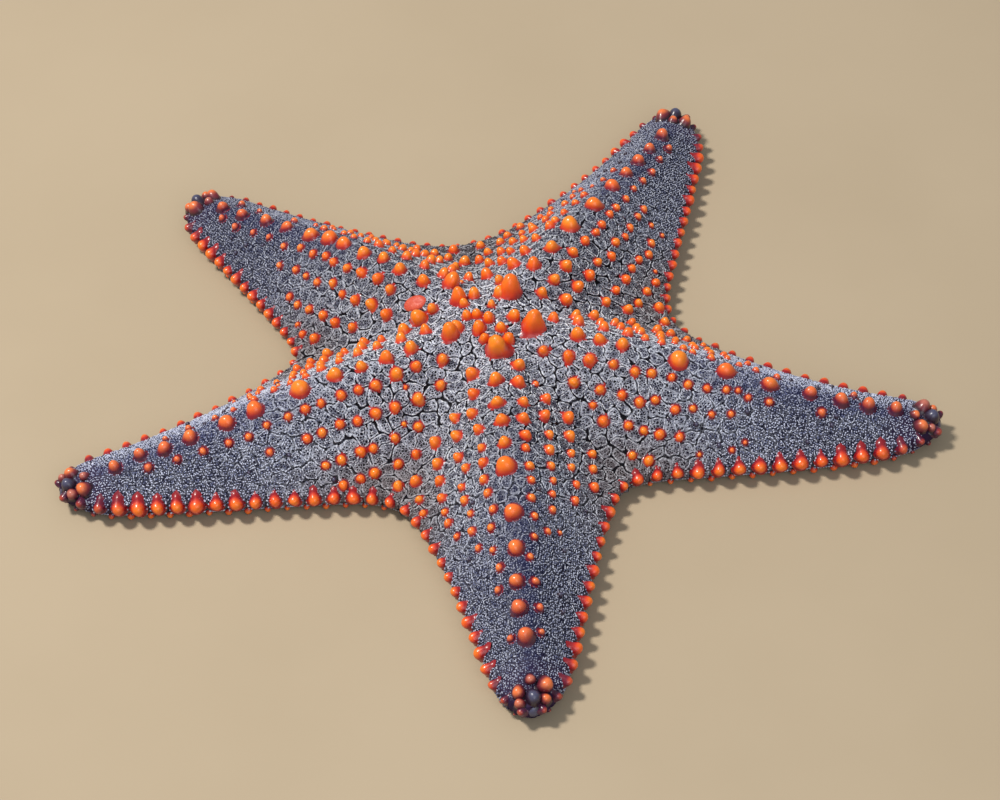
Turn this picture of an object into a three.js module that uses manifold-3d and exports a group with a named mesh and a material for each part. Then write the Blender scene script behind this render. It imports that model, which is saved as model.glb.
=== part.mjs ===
// A life-size oreasterid sea star lying on its underside, in millimetres, +Z up.
// Five tapering arms and a domed disc form one body, which is parted by thin cuts into the disc,
// the arms and the arm tips. The big tubercles are joined to the body that they grow from.
import * as THREE from "three";
import { mergeVertices } from "three/addons/utils/BufferGeometryUtils.js";
import Module from "manifold-3d";

// ---- driving dimensions ----

// The middle of the disc, measured from the middle of the footprint.
const DISC_CENTRE = { x: -0.7, y: 7.4 };

// Each arm leaves the disc centre at an angle (degrees from +X) and reaches about so far along
// that direction. Bow and sway bend the arm sideways, as fractions of its reach. Ridge lists where
// the large tubercles of the mid-line row stand, by their distance from the disc centre.
const ARMS = [
  {
    name: "left", angle: 203.05, reach: 134.4, bow: -0.125, sway: 0.056,
    ridge: [26, 34, 42, 50, 61, 75, 84, 95, 103, 110, 118],
  },
  {
    name: "back_left", angle: 133.3, reach: 127.0, bow: 0.071, sway: 0.112,
    ridge: [27, 36, 44, 51, 60, 66, 73, 84, 93, 103, 112],
  },
  {
    name: "back_right", angle: 59.6, reach: 132.1, bow: 0.006, sway: -0.193,
    ridge: [27, 36, 48, 62, 75, 85, 94, 103, 113],
  },
  {
    name: "right", angle: -18.2, reach: 135.0, bow: 0.081, sway: -0.182,
    ridge: [27, 34, 41, 58, 72, 85, 97, 106, 114, 122],
  },
  {
    name: "front", angle: -84.0, reach: 130.2, bow: -0.066, sway: -0.009,
    ridge: [25, 34, 41, 49, 57, 72, 83, 93, 101, 110],
  },
];

// Half-width and height of an arm along its length, from the disc centre to the tip, as the
// control values of Bezier curves.
const HALF_WIDTH = [24.0, 29.1, 29.3, 16.8, 14.5, 7.0];
const RIDGE_HEIGHT = [25.3, 31.5, 31.1, 22.6, 12.5, 10.2];

const RIM_HEIGHT = 7.1; // height of the steep rim under the upper surface
const RIM_BULGE = 0.8; // how far the rim swells outward at half its height
const RIM_UNDERCUT = 1.6; // how far the foot of the rim lies inside its top edge
const RIDGE_ROUNDNESS = 0.4; // 0 would make each arm a sharp-ridged tent
const BLEND = 3.5; // height over which arms and dome melt into each other
const DOME_RISE = 3.6;
const DOME_RADIUS = 55.6;
const TIP_ROUNDING = 12.5; // length over which an arm's end rounds off
const BACK_FADE = 40; // length over which an arm's ridge fades past the disc centre

const FURROW_DEPTH = 4;
const FURROW_HALF_WIDTH = 3.2;
const FURROW_TIP_GAP = 12; // bare length between the furrow's end and the arm tip
const MOUTH_DEPTH = 8;

const ARM_CUT = 54.3; // distance from the disc centre of the cut between disc and arm
const TIP_LENGTH = 11; // length of the tip that is parted from each arm
const PARTING_GAP = 0.3;

const PRIMARY_RING = 13; // distance of the five largest tubercles from the disc centre
const PRIMARY_KNOB = { radius: 3.3, height: 6.0, blunt: true };
const RIDGE_KNOB = { radius: 2.4, height: 3.9, blunt: true };
const RIM_KNOB = { radius: 2.3, height: 3.6, blunt: false };
const RIM_KNOB_PITCH = 6.4;
const RIM_KNOB_HEIGHT = 4.6; // how high over the floor the rim tubercles stand
const RIM_KNOB_LIFT = 0.45; // upward lean of the rim tubercles
const TIP_KNOB = { radius: 2.1, height: 2.8, blunt: true };
const TIP_KNOBS = [-40, 40]; // degrees off the arm's line of the two knobs on each tip
const KNOB_ROOT = 2.0; // how deep a tubercle's root is sunk in the body
const KNOB_SIDES = 5;

const MADREPORITE = { along: 24.2, across: 7.3, length: 8.2, width: 6.2, rise: 1.5, arm: 1 };

// ---- mesh fineness ----

const HUB_ROWS = 4; // rows of faces from the disc centre out to the notch between two arms
const ARM_ROWS = 8; // rows of faces from the notch out to the tip
const ROW_CROWDING = 1.35; // above 1, rows crowd towards the tip
const UPPER_COLUMNS = [-1, -0.6, -0.25, 0, 0.25, 0.6, 1];
const LAST_ROW = HUB_ROWS + ARM_ROWS;
const BISECTIONS = 40;
const SLOPE_STEP = 0.05;
const OUTLINE_SAMPLES = 160;

// ---- the body's shape ----

function bezier(controls, q) {
  let values = [...controls];
  while (values.length > 1) {
    values = values.slice(1).map((value, k) => values[k] * (1 - q) + value * q);
  }
  return values[0];
}

for (const arm of ARMS) {
  const angle = THREE.MathUtils.degToRad(arm.angle);
  arm.along = { x: Math.cos(angle), y: Math.sin(angle) };
  arm.across = { x: -Math.sin(angle), y: Math.cos(angle) };
  arm.radians = angle;
}

// Neighbours meet on the line that halves the angle between them. Side -1 is the clockwise one.
function halfAngle(index, side) {
  const neighbour = ARMS[(index - side + ARMS.length) % ARMS.length];
  const turn = Math.abs(neighbour.radians - ARMS[index].radians) % (2 * Math.PI);
  return Math.min(turn, 2 * Math.PI - turn) / 2;
}

// Sideways offset of an arm's mid-line at a distance from the disc centre.
function midline(arm, along) {
  const q = THREE.MathUtils.clamp(along / arm.reach, 0, 1.1);
  return arm.reach * q * q * (arm.bow + arm.sway * (1 - q));
}

function place(arm, along, across) {
  return {
    x: along * arm.along.x + across * arm.across.x,
    y: along * arm.along.y + across * arm.across.y,
  };
}

// A rounded tent over one arm: its full height on the mid-line, zero at the arm's edge.
function tent(arm, x, y) {
  const along = x * arm.along.x + y * arm.along.y;
  const across = x * arm.across.x + y * arm.across.y - midline(arm, along);
  const q = THREE.MathUtils.clamp(along / arm.reach, 0, 1);
  const end = along < 0 ? -along / BACK_FADE : Math.max(0, 1 - (arm.reach - along) / TIP_ROUNDING);
  const off = Math.hypot(across / bezier(HALF_WIDTH, q), end);
  const round = RIDGE_ROUNDNESS;
  const fall = (Math.hypot(off, round) - round) / (Math.hypot(1, round) - round);
  return (bezier(RIDGE_HEIGHT, q) - RIM_HEIGHT) * (1 - fall);
}

// Height of the upper surface over the rim, negative outside the outline.
function swell(x, y) {
  const heights = ARMS.map((arm) => tent(arm, x, y));
  heights.push(DOME_RISE * (1 - (x * x + y * y) / (DOME_RADIUS * DOME_RADIUS)));
  const top = Math.max(...heights);
  const sum = heights.reduce((total, height) => total + Math.exp((height - top) / BLEND), 0);
  return top + BLEND * Math.log(sum);
}

function upperHeight(x, y) {
  return RIM_HEIGHT + Math.max(0, swell(x, y));
}

// Uphill slope of the upper surface.
function slope(x, y) {
  return {
    x: (swell(x + SLOPE_STEP, y) - swell(x - SLOPE_STEP, y)) / (2 * SLOPE_STEP),
    y: (swell(x, y + SLOPE_STEP) - swell(x, y - SLOPE_STEP)) / (2 * SLOPE_STEP),
  };
}

function outward(x, y) {
  const rise = slope(x, y);
  const length = Math.hypot(rise.x, rise.y);
  return { x: -rise.x / length, y: -rise.y / length };
}

function bisect(inside, low, high) {
  for (let step = 0; step < BISECTIONS; step += 1) {
    const middle = (low + high) / 2;
    if (inside(middle)) {
      low = middle;
    } else {
      high = middle;
    }
  }
  return low;
}

// Distance along the arm at which its edge turns into the neighbour's, on one side.
function notchAlong(arm, side) {
  const half = arm.half[side];
  const reach = bisect((distance) => {
    const point = place(arm, distance * Math.cos(half), side * distance * Math.sin(half));
    return swell(point.x, point.y) > 0;
  }, 0, arm.reach);
  return reach * Math.cos(half);
}

function tipAlong(arm) {
  return bisect((along) => {
    const point = place(arm, along, midline(arm, along));
    return swell(point.x, point.y) > 0;
  }, 0, 2 * arm.reach);
}

ARMS.forEach((arm, index) => {
  arm.half = { [-1]: halfAngle(index, -1), 1: halfAngle(index, 1) };
  arm.notch = { [-1]: notchAlong(arm, -1), 1: notchAlong(arm, 1) };
  arm.tip = tipAlong(arm);
});

// Sideways place of the edge of an arm's share of the body.
function edgeAcross(arm, side, along) {
  const middle = midline(arm, along);
  if (along >= arm.tip) {
    return middle;
  }
  const width = bisect((distance) => {
    const point = place(arm, along, middle + side * distance);
    return swell(point.x, point.y) > 0;
  }, 0, arm.reach);
  const border = along * Math.tan(arm.half[side]);
  return side * Math.min(border, side * middle + width);
}

// ---- the body's mesh ----

const vertices = [];
const triangles = [];
const known = new Map();

function vertex(x, y, z) {
  const key = [x, y, z].map((value) => Math.round(value * 2000)).join(",");
  if (!known.has(key)) {
    known.set(key, vertices.length);
    vertices.push([x, y, z]);
  }
  return known.get(key);
}

function triangle(a, b, c) {
  if (a !== b && b !== c && c !== a) {
    triangles.push([a, b, c]);
  }
}

// Faces between two rows of vertices, seen from the side where the rows run left to right.
function strip(near, far) {
  for (let k = 0; k + 1 < near.length; k += 1) {
    triangle(near[k], near[k + 1], far[k + 1]);
    triangle(near[k], far[k + 1], far[k]);
  }
}

function rowAlong(arm, row, column) {
  const notch = THREE.MathUtils.lerp(arm.notch[-1], arm.notch[1], (column + 1) / 2);
  if (row <= HUB_ROWS) {
    return (notch * row) / HUB_ROWS;
  }
  if (row === LAST_ROW) {
    return arm.tip;
  }
  const share = (row - HUB_ROWS) / ARM_ROWS;
  return notch + (arm.tip - notch) * (1 - (1 - share) ** ROW_CROWDING);
}

function edgePoint(arm, side, row) {
  const along = rowAlong(arm, row, side);
  return place(arm, along, edgeAcross(arm, side, along));
}

function rimVertex(point, offset, z) {
  const direction = outward(point.x, point.y);
  return vertex(point.x + direction.x * offset, point.y + direction.y * offset, z);
}

function upperRow(arm, row) {
  return UPPER_COLUMNS.map((column) => {
    const side = column < 0 ? -1 : 1;
    if (Math.abs(column) === 1) {
      const edge = edgePoint(arm, side, row);
      return vertex(edge.x, edge.y, row >= HUB_ROWS ? RIM_HEIGHT : upperHeight(edge.x, edge.y));
    }
    const along = rowAlong(arm, row, column);
    const middle = midline(arm, along);
    const across = THREE.MathUtils.lerp(middle, edgeAcross(arm, side, along), Math.abs(column));
    const point = place(arm, along, across);
    return vertex(point.x, point.y, row === LAST_ROW ? RIM_HEIGHT : upperHeight(point.x, point.y));
  });
}

// The underside is flat but for the furrow along the arm and the mouth in the middle.
function lowerRow(arm, row) {
  const along = rowAlong(arm, row, 0);
  const middle = midline(arm, along);
  const half = edgeAcross(arm, 1, along) - middle;
  const lip = Math.min(FURROW_HALF_WIDTH, half / 2);
  const furrow = along < arm.tip - FURROW_TIP_GAP ? FURROW_DEPTH : 0;
  const inner = [-lip, 0, lip].map((offset) => {
    const point = place(arm, along, middle + offset);
    return vertex(point.x, point.y, offset === 0 ? furrow : 0);
  });
  const edges = [-1, 1].map((side) => {
    const point = edgePoint(arm, side, row);
    return row < HUB_ROWS ? vertex(point.x, point.y, 0) : rimVertex(point, -RIM_UNDERCUT, 0);
  });
  return [edges[0], ...inner, edges[1]];
}

// The underside's rows shrink to one point at the mouth and to one at the tip.
function lowerEnd(arm, row) {
  const point = edgePoint(arm, 1, row);
  const end = row === 0 ? vertex(0, 0, MOUTH_DEPTH) : rimVertex(point, -RIM_UNDERCUT, 0);
  return Array(5).fill(end);
}

function rimColumn(arm, side, row) {
  const point = edgePoint(arm, side, row);
  return [
    vertex(point.x, point.y, RIM_HEIGHT),
    rimVertex(point, RIM_BULGE, RIM_HEIGHT / 2),
    rimVertex(point, -RIM_UNDERCUT, 0),
  ];
}

function meshSector(arm) {
  const lower = [];
  for (let row = 0; row <= LAST_ROW; row += 1) {
    lower.push(row === 0 || row === LAST_ROW ? lowerEnd(arm, row) : lowerRow(arm, row));
  }
  for (let row = 0; row < LAST_ROW; row += 1) {
    strip(upperRow(arm, row + 1), upperRow(arm, row));
    strip(lower[row], lower[row + 1]);
    if (row >= HUB_ROWS) {
      strip(rimColumn(arm, -1, row), rimColumn(arm, -1, row + 1));
      strip(rimColumn(arm, 1, row + 1), rimColumn(arm, 1, row));
    }
  }
}

ARMS.forEach(meshSector);

// ---- solids ----

const wasm = await Module();
wasm.setup();

function toSolid(geometry) {
  const merged = geometry.clone();
  for (const name of ["normal", "uv"]) {
    merged.deleteAttribute(name);
  }
  const welded = mergeVertices(merged, 1e-4);
  const faces = [];
  for (let k = 0; k < welded.index.count; k += 3) {
    const [a, b, c] = [welded.index.getX(k), welded.index.getX(k + 1), welded.index.getX(k + 2)];
    if (a !== b && b !== c && c !== a) {
      faces.push(a, b, c);
    }
  }
  return new wasm.Manifold(new wasm.Mesh({
    numProp: 3,
    vertProperties: new Float32Array(welded.attributes.position.array),
    triVerts: new Uint32Array(faces),
  }));
}

function toGeometry(solid) {
  const mesh = solid.getMesh();
  const geometry = new THREE.BufferGeometry();
  geometry.setAttribute("position", new THREE.BufferAttribute(mesh.vertProperties, 3));
  geometry.setIndex(new THREE.BufferAttribute(mesh.triVerts, 1));
  geometry.computeVertexNormals();
  return geometry;
}

const skin = new THREE.BufferGeometry();
skin.setAttribute("position", new THREE.Float32BufferAttribute(vertices.flat(), 3));
skin.setIndex(triangles.flat());
const body = toSolid(skin);

// ---- tubercles ----

const UP = new THREE.Vector3(0, 1, 0);

// A cone, or a dome with a swollen shoulder where it is blunt, standing on a point of the surface.
function knob({ radius, height, blunt }, x, y, z, direction) {
  const profile = [
    new THREE.Vector2(0, -KNOB_ROOT),
    new THREE.Vector2(radius, height * 0.15),
    ...(blunt ? [new THREE.Vector2(radius * 0.75, height * 0.65)] : []),
    new THREE.Vector2(0, height),
  ];
  const shape = new THREE.LatheGeometry(profile, KNOB_SIDES);
  shape.applyQuaternion(new THREE.Quaternion().setFromUnitVectors(UP, direction.normalize()));
  shape.translate(x, y, z);
  return toSolid(shape);
}

function surfaceKnob(size, arm, along, across) {
  const point = place(arm, along, midline(arm, along) + across);
  const rise = slope(point.x, point.y);
  const normal = new THREE.Vector3(-rise.x, -rise.y, 1);
  return knob(size, point.x, point.y, upperHeight(point.x, point.y), normal);
}

function ridgeKnobs(arm) {
  const primary = surfaceKnob(PRIMARY_KNOB, arm, PRIMARY_RING, 0);
  return [primary, ...arm.ridge.map((along) => surfaceKnob(RIDGE_KNOB, arm, along, 0))];
}

function rimKnob(point) {
  const direction = outward(point.x, point.y);
  const x = point.x + direction.x * RIM_BULGE;
  const y = point.y + direction.y * RIM_BULGE;
  const lean = new THREE.Vector3(direction.x, direction.y, RIM_KNOB_LIFT);
  return knob(RIM_KNOB, x, y, RIM_KNOB_HEIGHT, lean);
}

// Tubercles at an even pitch along one edge of an arm, from the notch to the tip.
function rimKnobs(arm, side) {
  const start = arm.notch[side];
  const end = arm.tip - TIP_ROUNDING / 4;
  const knobs = [];
  let previous = null;
  let run = RIM_KNOB_PITCH / 2;
  for (let sample = 0; sample <= OUTLINE_SAMPLES; sample += 1) {
    const along = THREE.MathUtils.lerp(start, end, sample / OUTLINE_SAMPLES);
    const point = place(arm, along, edgeAcross(arm, side, along));
    run += previous ? Math.hypot(point.x - previous.x, point.y - previous.y) : 0;
    if (run >= RIM_KNOB_PITCH) {
      knobs.push(rimKnob(point));
      run -= RIM_KNOB_PITCH;
    }
    previous = point;
  }
  return knobs;
}

function tipKnobs(arm) {
  return TIP_KNOBS.map((degrees) => {
    const turn = THREE.MathUtils.degToRad(degrees);
    const radius = TIP_ROUNDING / 3;
    const along = arm.tip - TIP_ROUNDING / 2 + radius * Math.cos(turn);
    return surfaceKnob(TIP_KNOB, arm, along, radius * Math.sin(turn));
  });
}

const tubercles = ARMS.flatMap((arm) => [
  ...ridgeKnobs(arm), ...rimKnobs(arm, -1), ...rimKnobs(arm, 1), ...tipKnobs(arm),
]);

// ---- the madreporite, an oval sieve plate in a socket of the disc ----

function madreporitePlate(clearance) {
  const { along, across, length, width, rise, arm } = MADREPORITE;
  const point = place(ARMS[arm], along, across);
  const incline = slope(point.x, point.y);
  const profile = [
    new THREE.Vector2(0, -rise - clearance),
    new THREE.Vector2(0.5, -rise - clearance),
    new THREE.Vector2(0.5 + clearance / width, 0.1),
    new THREE.Vector2(0.3, rise * 0.8 + clearance),
    new THREE.Vector2(0, rise + clearance),
  ];
  const plate = new THREE.LatheGeometry(profile, 12);
  plate.scale(length, 1, width);
  const normal = new THREE.Vector3(-incline.x, -incline.y, 1).normalize();
  plate.applyQuaternion(new THREE.Quaternion().setFromUnitVectors(UP, normal));
  plate.translate(point.x, point.y, upperHeight(point.x, point.y));
  return toSolid(plate);
}

// ---- parting the body ----

// The block that holds all of one arm beyond a distance from the disc centre.
function beyond(arm, distance) {
  const depth = 140;
  const block = new THREE.BoxGeometry(depth, 90, 120);
  block.rotateZ(arm.radians);
  const middle = place(arm, distance + depth / 2, 0);
  block.translate(middle.x, middle.y, 20);
  return toSolid(block);
}

const whole = wasm.Manifold.union([body, ...tubercles]);

// A cut can leave loose chips of the tubercles that it passes through, which are dropped.
function withoutChips(solid) {
  const pieces = solid.decompose();
  return pieces.reduce((best, piece) => (piece.volume() > best.volume() ? piece : best));
}

function discSolid() {
  const cut = ARMS.map((arm) => beyond(arm, ARM_CUT - PARTING_GAP / 2));
  const socket = madreporitePlate(PARTING_GAP);
  return withoutChips(whole.subtract(wasm.Manifold.union([...cut, socket])));
}

function armSolid(arm) {
  const past = beyond(arm, ARM_CUT + PARTING_GAP / 2);
  const tip = beyond(arm, arm.tip - TIP_LENGTH - PARTING_GAP / 2);
  return withoutChips(whole.intersect(past).subtract(tip));
}

function tipSolid(arm) {
  return withoutChips(whole.intersect(beyond(arm, arm.tip - TIP_LENGTH + PARTING_GAP / 2)));
}

// ---- materials and the model ----

const SKIN = new THREE.MeshStandardMaterial({ color: 0x6d7389, roughness: 0.5, metalness: 0 });
const TIP_SKIN = new THREE.MeshStandardMaterial({ color: 0x45364f, roughness: 0.4, metalness: 0 });
const SIEVE = new THREE.MeshStandardMaterial({ color: 0xd9502e, roughness: 0.45, metalness: 0 });

function named(name, solid, material) {
  const mesh = new THREE.Mesh(toGeometry(solid), material);
  mesh.name = name;
  return mesh;
}

const star = new THREE.Group();
star.add(named("disc", discSolid(), SKIN));
for (const arm of ARMS) {
  star.add(named(`arm_${arm.name}`, armSolid(arm), SKIN));
  star.add(named(`tip_${arm.name}`, tipSolid(arm), TIP_SKIN));
}
star.add(named("madreporite", madreporitePlate(0), SIEVE));
star.position.set(DISC_CENTRE.x, DISC_CENTRE.y, 0);

export default star;
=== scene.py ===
"""A life-size sea star on a plain studio floor: one granular skin, its tubercles and sieve plate."""

import math

import bpy
import numpy as np
from mathutils import Matrix, Vector
from mathutils.kdtree import KDTree

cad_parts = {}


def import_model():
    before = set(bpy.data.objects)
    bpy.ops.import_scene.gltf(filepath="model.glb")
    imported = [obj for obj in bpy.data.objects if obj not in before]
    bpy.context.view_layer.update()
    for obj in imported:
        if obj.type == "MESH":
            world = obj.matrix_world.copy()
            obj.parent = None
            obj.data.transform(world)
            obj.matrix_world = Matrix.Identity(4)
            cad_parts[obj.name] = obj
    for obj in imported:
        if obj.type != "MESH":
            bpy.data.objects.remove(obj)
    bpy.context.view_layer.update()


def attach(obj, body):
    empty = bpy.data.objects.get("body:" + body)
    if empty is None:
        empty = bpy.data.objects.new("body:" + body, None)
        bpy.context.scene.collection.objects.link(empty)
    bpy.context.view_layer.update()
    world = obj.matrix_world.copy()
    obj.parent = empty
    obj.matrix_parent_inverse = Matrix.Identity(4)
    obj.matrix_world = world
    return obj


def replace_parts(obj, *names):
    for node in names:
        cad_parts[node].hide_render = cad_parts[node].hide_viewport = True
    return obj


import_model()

# ---- driving dimensions, in millimetres from the disc centre unless a line says otherwise ----

MM = 0.001
SEED = 11
RNG = np.random.default_rng(SEED)
SIDES = (-1, 1)

DISC_CENTRE = np.array([-0.7, 7.4, 0.0])

# Each arm's angle (degrees), reach, bow and sway are those of the CAD model. The rest is its looks:
# how much darker its skin and granules are painted (partly their own tone, partly painted shade on the
# far arms and the far side of the disc), the radius of its tubercle in the ring of five, the pitch of
# its rim's plates, the size and the tail of its rim's tubercles (right, left), a shift of its side rows,
# and the tubercles of its ridge as (distance from the disc centre, radius).
ARMS = {
    "left": dict(
        angle=203.05, reach=134.4, bow=-0.125, sway=0.056, shade=0.0, primary=2.3, pitch=5.9,
        rim_size=(0.72, 1.0), rim_tail=(0.4, 0.55), row_shift=0.0,
        ridge=[(26, 2.1), (34, 2.1), (42, 1.8), (50, 2.1), (61, 2.6), (75, 2.3), (84, 2.2), (95, 2.0),
               (103, 2.0), (110, 1.8), (118, 1.8)]),
    "back_left": dict(
        angle=133.3, reach=127.0, bow=0.071, sway=0.112, shade=0.5, primary=2.2, pitch=4.9,
        rim_size=(0.6, 0.78), rim_tail=(0.4, 0.5), row_shift=0.0,
        ridge=[(27, 2.0), (36, 2.0), (44, 1.8), (51, 1.9), (60, 2.0), (66, 2.3), (73, 2.1), (84, 1.7),
               (93, 1.9), (103, 1.7), (112, 1.7)]),
    "back_right": dict(
        angle=59.6, reach=132.1, bow=0.006, sway=-0.193, shade=0.44, primary=3.05, pitch=5.2,
        rim_size=(0.8, 0.7), rim_tail=(0.4, 0.4), row_shift=0.0,
        ridge=[(27, 2.1), (36, 2.1), (48, 2.6), (62, 2.3), (75, 2.0), (85, 1.8), (94, 1.9), (103, 1.7),
               (113, 1.9)]),
    "right": dict(
        angle=-18.2, reach=135.0, bow=0.081, sway=-0.182, shade=0.05, primary=3.0, pitch=5.9,
        rim_size=(0.94, 0.74), rim_tail=(0.55, 0.4), row_shift=0.0,
        ridge=[(27, 2.3), (34, 2.0), (41, 2.0), (58, 2.6), (72, 2.3), (85, 2.1), (97, 1.9), (106, 2.0),
               (114, 2.1), (122, 1.9)]),
    "front": dict(
        angle=-84.0, reach=130.2, bow=-0.066, sway=-0.009, shade=0.34, primary=2.92, pitch=5.9,
        rim_size=(0.82, 0.82), rim_tail=(0.5, 0.45), row_shift=-2.0,
        ridge=[(25, 2.3), (34, 2.0), (41, 2.0), (49, 1.7), (57, 2.6), (72, 2.4), (83, 2.2), (93, 2.0),
               (101, 2.2), (110, 2.3)]),
}

# The body: control values of the arms' half width and ridge height from the disc to the tip, the
# rim, the dome over the disc, the furrows and the mouth.
HALF_WIDTH = [24.0, 29.1, 29.3, 16.8, 14.5, 7.0]
RIDGE_HEIGHT = [25.3, 31.5, 31.1, 22.6, 12.5, 10.2]
RIM_HEIGHT = 7.1
RIM_BULGE = 0.8
RIM_UNDERCUT = 1.6
RIDGE_ROUNDNESS = 0.4
BLEND = 3.5
DOME_RISE = 3.6
DOME_RADIUS = 55.6
TIP_ROUNDING = 12.5
BACK_FADE = 40.0
FURROW_DEPTH = 4.0
FURROW_HALF_WIDTH = 3.2
FURROW_TIP_GAP = 12.0
FURROW_RUNOUT = 8
MOUTH_DEPTH = 8.0
MOUTH_RADIUS = 7.0
COAT_DEPTH = 0.35

# Where the skin counts as low, and where the arms' darkening sets in, which is partly painted shade.
LOW_BAND = 9.0
SHADE_START = 8.0
SHADE_FULL = 44.0

# ---- the camera: a long lens in front of the star, tipped down ----

IMAGE_WIDTH = 1000
SENSOR = 36.0
FOCAL_PIXELS = 3000.0
CAMERA_ELEVATION = math.radians(46.0)
CAMERA_ROLL = math.radians(3.54)
CAMERA_DISTANCE = 915.2
CAMERA_TARGET = np.array([1.4, -5.4, 0.0])
CLIP_END = 20  # metres

# ---- mesh fineness ----

HUB_ROWS = 112
ARM_ROWS = 176
ROW_CROWDING = 1.2
UPPER_COLUMNS = 188
COLUMN_CROWDING = 1.25
RIM_COLUMNS = 14
LOWER_COLUMNS = 26
BISECTIONS = 36
SLOPE_STEP = 0.05
EDGE_SAMPLES = 600


# ---- the body's shape ----


def smoothstep(low, high, value):
    t = np.clip((value - low) / (high - low), 0, 1)
    return t * t * (3 - 2 * t)


def unit(vectors):
    return vectors / np.linalg.norm(vectors, axis=-1, keepdims=True)


def read(table, place):
    """The value at one place of a table of places and values."""
    return float(np.interp(place, *table))


def bezier(controls, q):
    values = [np.full_like(q, control) for control in controls]
    while len(values) > 1:
        values = [a * (1 - q) + b * q for a, b in zip(values, values[1:])]
    return values[0]


class Arm:
    """One arm, in which a place is a distance along it and one across it, to its left."""

    def __init__(self, name, angle, reach, bow, sway, **looks):
        self.name = name
        self.looks = looks
        self.radians = math.radians(angle)
        self.reach, self.bow, self.sway = reach, bow, sway
        self.along = np.array([math.cos(self.radians), math.sin(self.radians)])
        self.across = np.array([-self.along[1], self.along[0]])
        self.half, self.notch = {}, {}

    def midline(self, along):
        q = np.clip(along / self.reach, 0, 1.1)
        return self.reach * q * q * (self.bow + self.sway * (1 - q))

    def place(self, along, across):
        x = along * self.along[0] + across * self.across[0]
        y = along * self.along[1] + across * self.across[1]
        return x, y

    def beside(self, along, aside):
        """The point so far along the arm and so far to the left of its bent midline."""
        return self.place(along, float(self.midline(along)) + aside)

    def tent(self, x, y):
        """Height over the rim of the arm alone: a ridge along its midline, falling to its edges."""
        along = x * self.along[0] + y * self.along[1]
        across = x * self.across[0] + y * self.across[1] - self.midline(along)
        q = np.clip(along / self.reach, 0, 1)
        past = np.maximum(0, 1 - (self.reach - along) / TIP_ROUNDING)
        end = np.where(along < 0, -along / BACK_FADE, past)
        off = np.hypot(across / bezier(HALF_WIDTH, q), end)
        span = math.hypot(1, RIDGE_ROUNDNESS) - RIDGE_ROUNDNESS
        fall = (np.hypot(off, RIDGE_ROUNDNESS) - RIDGE_ROUNDNESS) / span
        return (bezier(RIDGE_HEIGHT, q) - RIM_HEIGHT) * (1 - fall)

    def edge(self, side, along):
        """Sideways place of the edge of this arm's share of the body."""
        border = side * along * math.tan(self.half[side])
        rim = np.interp(along, self.edge_along[side], self.edge_across[side])
        return np.where(along <= self.notch[side], border, rim)

    def room(self, side, along):
        """Width of the arm on one side of its midline."""
        return side * (float(self.edge(side, along)) - float(self.midline(along)))


def swell(x, y):
    """Height of the upper surface over the rim, negative outside the outline."""
    heights = [arm.tent(x, y) for arm in STAR]
    heights.append(DOME_RISE * (1 - (x * x + y * y) / DOME_RADIUS**2))
    top = np.maximum.reduce(heights)
    return top + BLEND * np.log(sum(np.exp((height - top) / BLEND) for height in heights))


def slope(x, y):
    rise_x = (swell(x + SLOPE_STEP, y) - swell(x - SLOPE_STEP, y)) / (2 * SLOPE_STEP)
    rise_y = (swell(x, y + SLOPE_STEP) - swell(x, y - SLOPE_STEP)) / (2 * SLOPE_STEP)
    return rise_x, rise_y


def bisect(inside, low, high):
    """The place between low, which is inside, and high, where inside stops holding."""
    for _ in range(BISECTIONS):
        middle = (low + high) / 2
        kept = inside(middle)
        low, high = np.where(kept, middle, low), np.where(kept, high, middle)
    return low


def upper_point(x, y):
    return np.stack([x, y, RIM_HEIGHT + np.maximum(0, swell(x, y))], -1)


def upper_normal(x, y):
    rise_x, rise_y = slope(x, y)
    return unit(np.stack([-rise_x, -rise_y, np.ones_like(rise_x)], -1))


def lowness(points):
    """0 over most of the body, growing to 1 down at the rim."""
    return np.clip(1 - (points[..., 2] - RIM_HEIGHT) / LOW_BAND, 0, 1)


def outward(x, y):
    """Unit direction in plan that leads downhill, off the body."""
    rise_x, rise_y = slope(x, y)
    length = np.hypot(rise_x, rise_y)
    return np.stack([-rise_x / length, -rise_y / length], -1)


def shade_at(x, y):
    """How much darker the skin is painted here than on the lightest arm, 0 to 1: partly its own tone,
    partly painted shade on the far arms and the far side of the disc.
    """
    angles, shades = zip(*[(sizes["angle"], sizes["shade"]) for sizes in ARMS.values()])
    shade = np.interp(np.degrees(np.arctan2(y, x)), angles, shades, period=360)
    return shade * smoothstep(SHADE_START, SHADE_FULL, np.hypot(x, y))


STAR = [Arm(name, **sizes) for name, sizes in ARMS.items()]


def measure_arms():
    """Find each arm's tip, its two notches and the outline between them."""
    count = len(STAR)
    for index, arm in enumerate(STAR):
        arm.tip = float(bisect(lambda s: swell(*arm.place(s, arm.midline(s))) > 0, 0.0, 2 * arm.reach))
        arm.edge_along, arm.edge_across = {}, {}
        for side in SIDES:
            turn = abs(STAR[(index - side) % count].radians - arm.radians) % (2 * math.pi)
            half = min(turn, 2 * math.pi - turn) / 2
            ray = (math.cos(half), side * math.sin(half))
            reach = bisect(lambda r: swell(*arm.place(r * ray[0], r * ray[1])) > 0, 0.0, arm.reach)
            arm.half[side], arm.notch[side] = half, float(reach * ray[0])
            share = np.linspace(0, 1, EDGE_SAMPLES)
            along = arm.notch[side] + (arm.tip - arm.notch[side]) * (1 - (1 - share) ** 2)
            middle = arm.midline(along)
            width = bisect(
                lambda w: swell(*arm.place(along, middle + side * w)) > 0,
                np.zeros_like(along), np.full_like(along, arm.reach / 2))
            width[-1] = 0
            arm.edge_along[side], arm.edge_across[side] = along, middle + side * width


measure_arms()


# ---- mesh helpers ----


def world(points):
    return (np.asarray(points, float) + DISC_CENTRE) * MM


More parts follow.
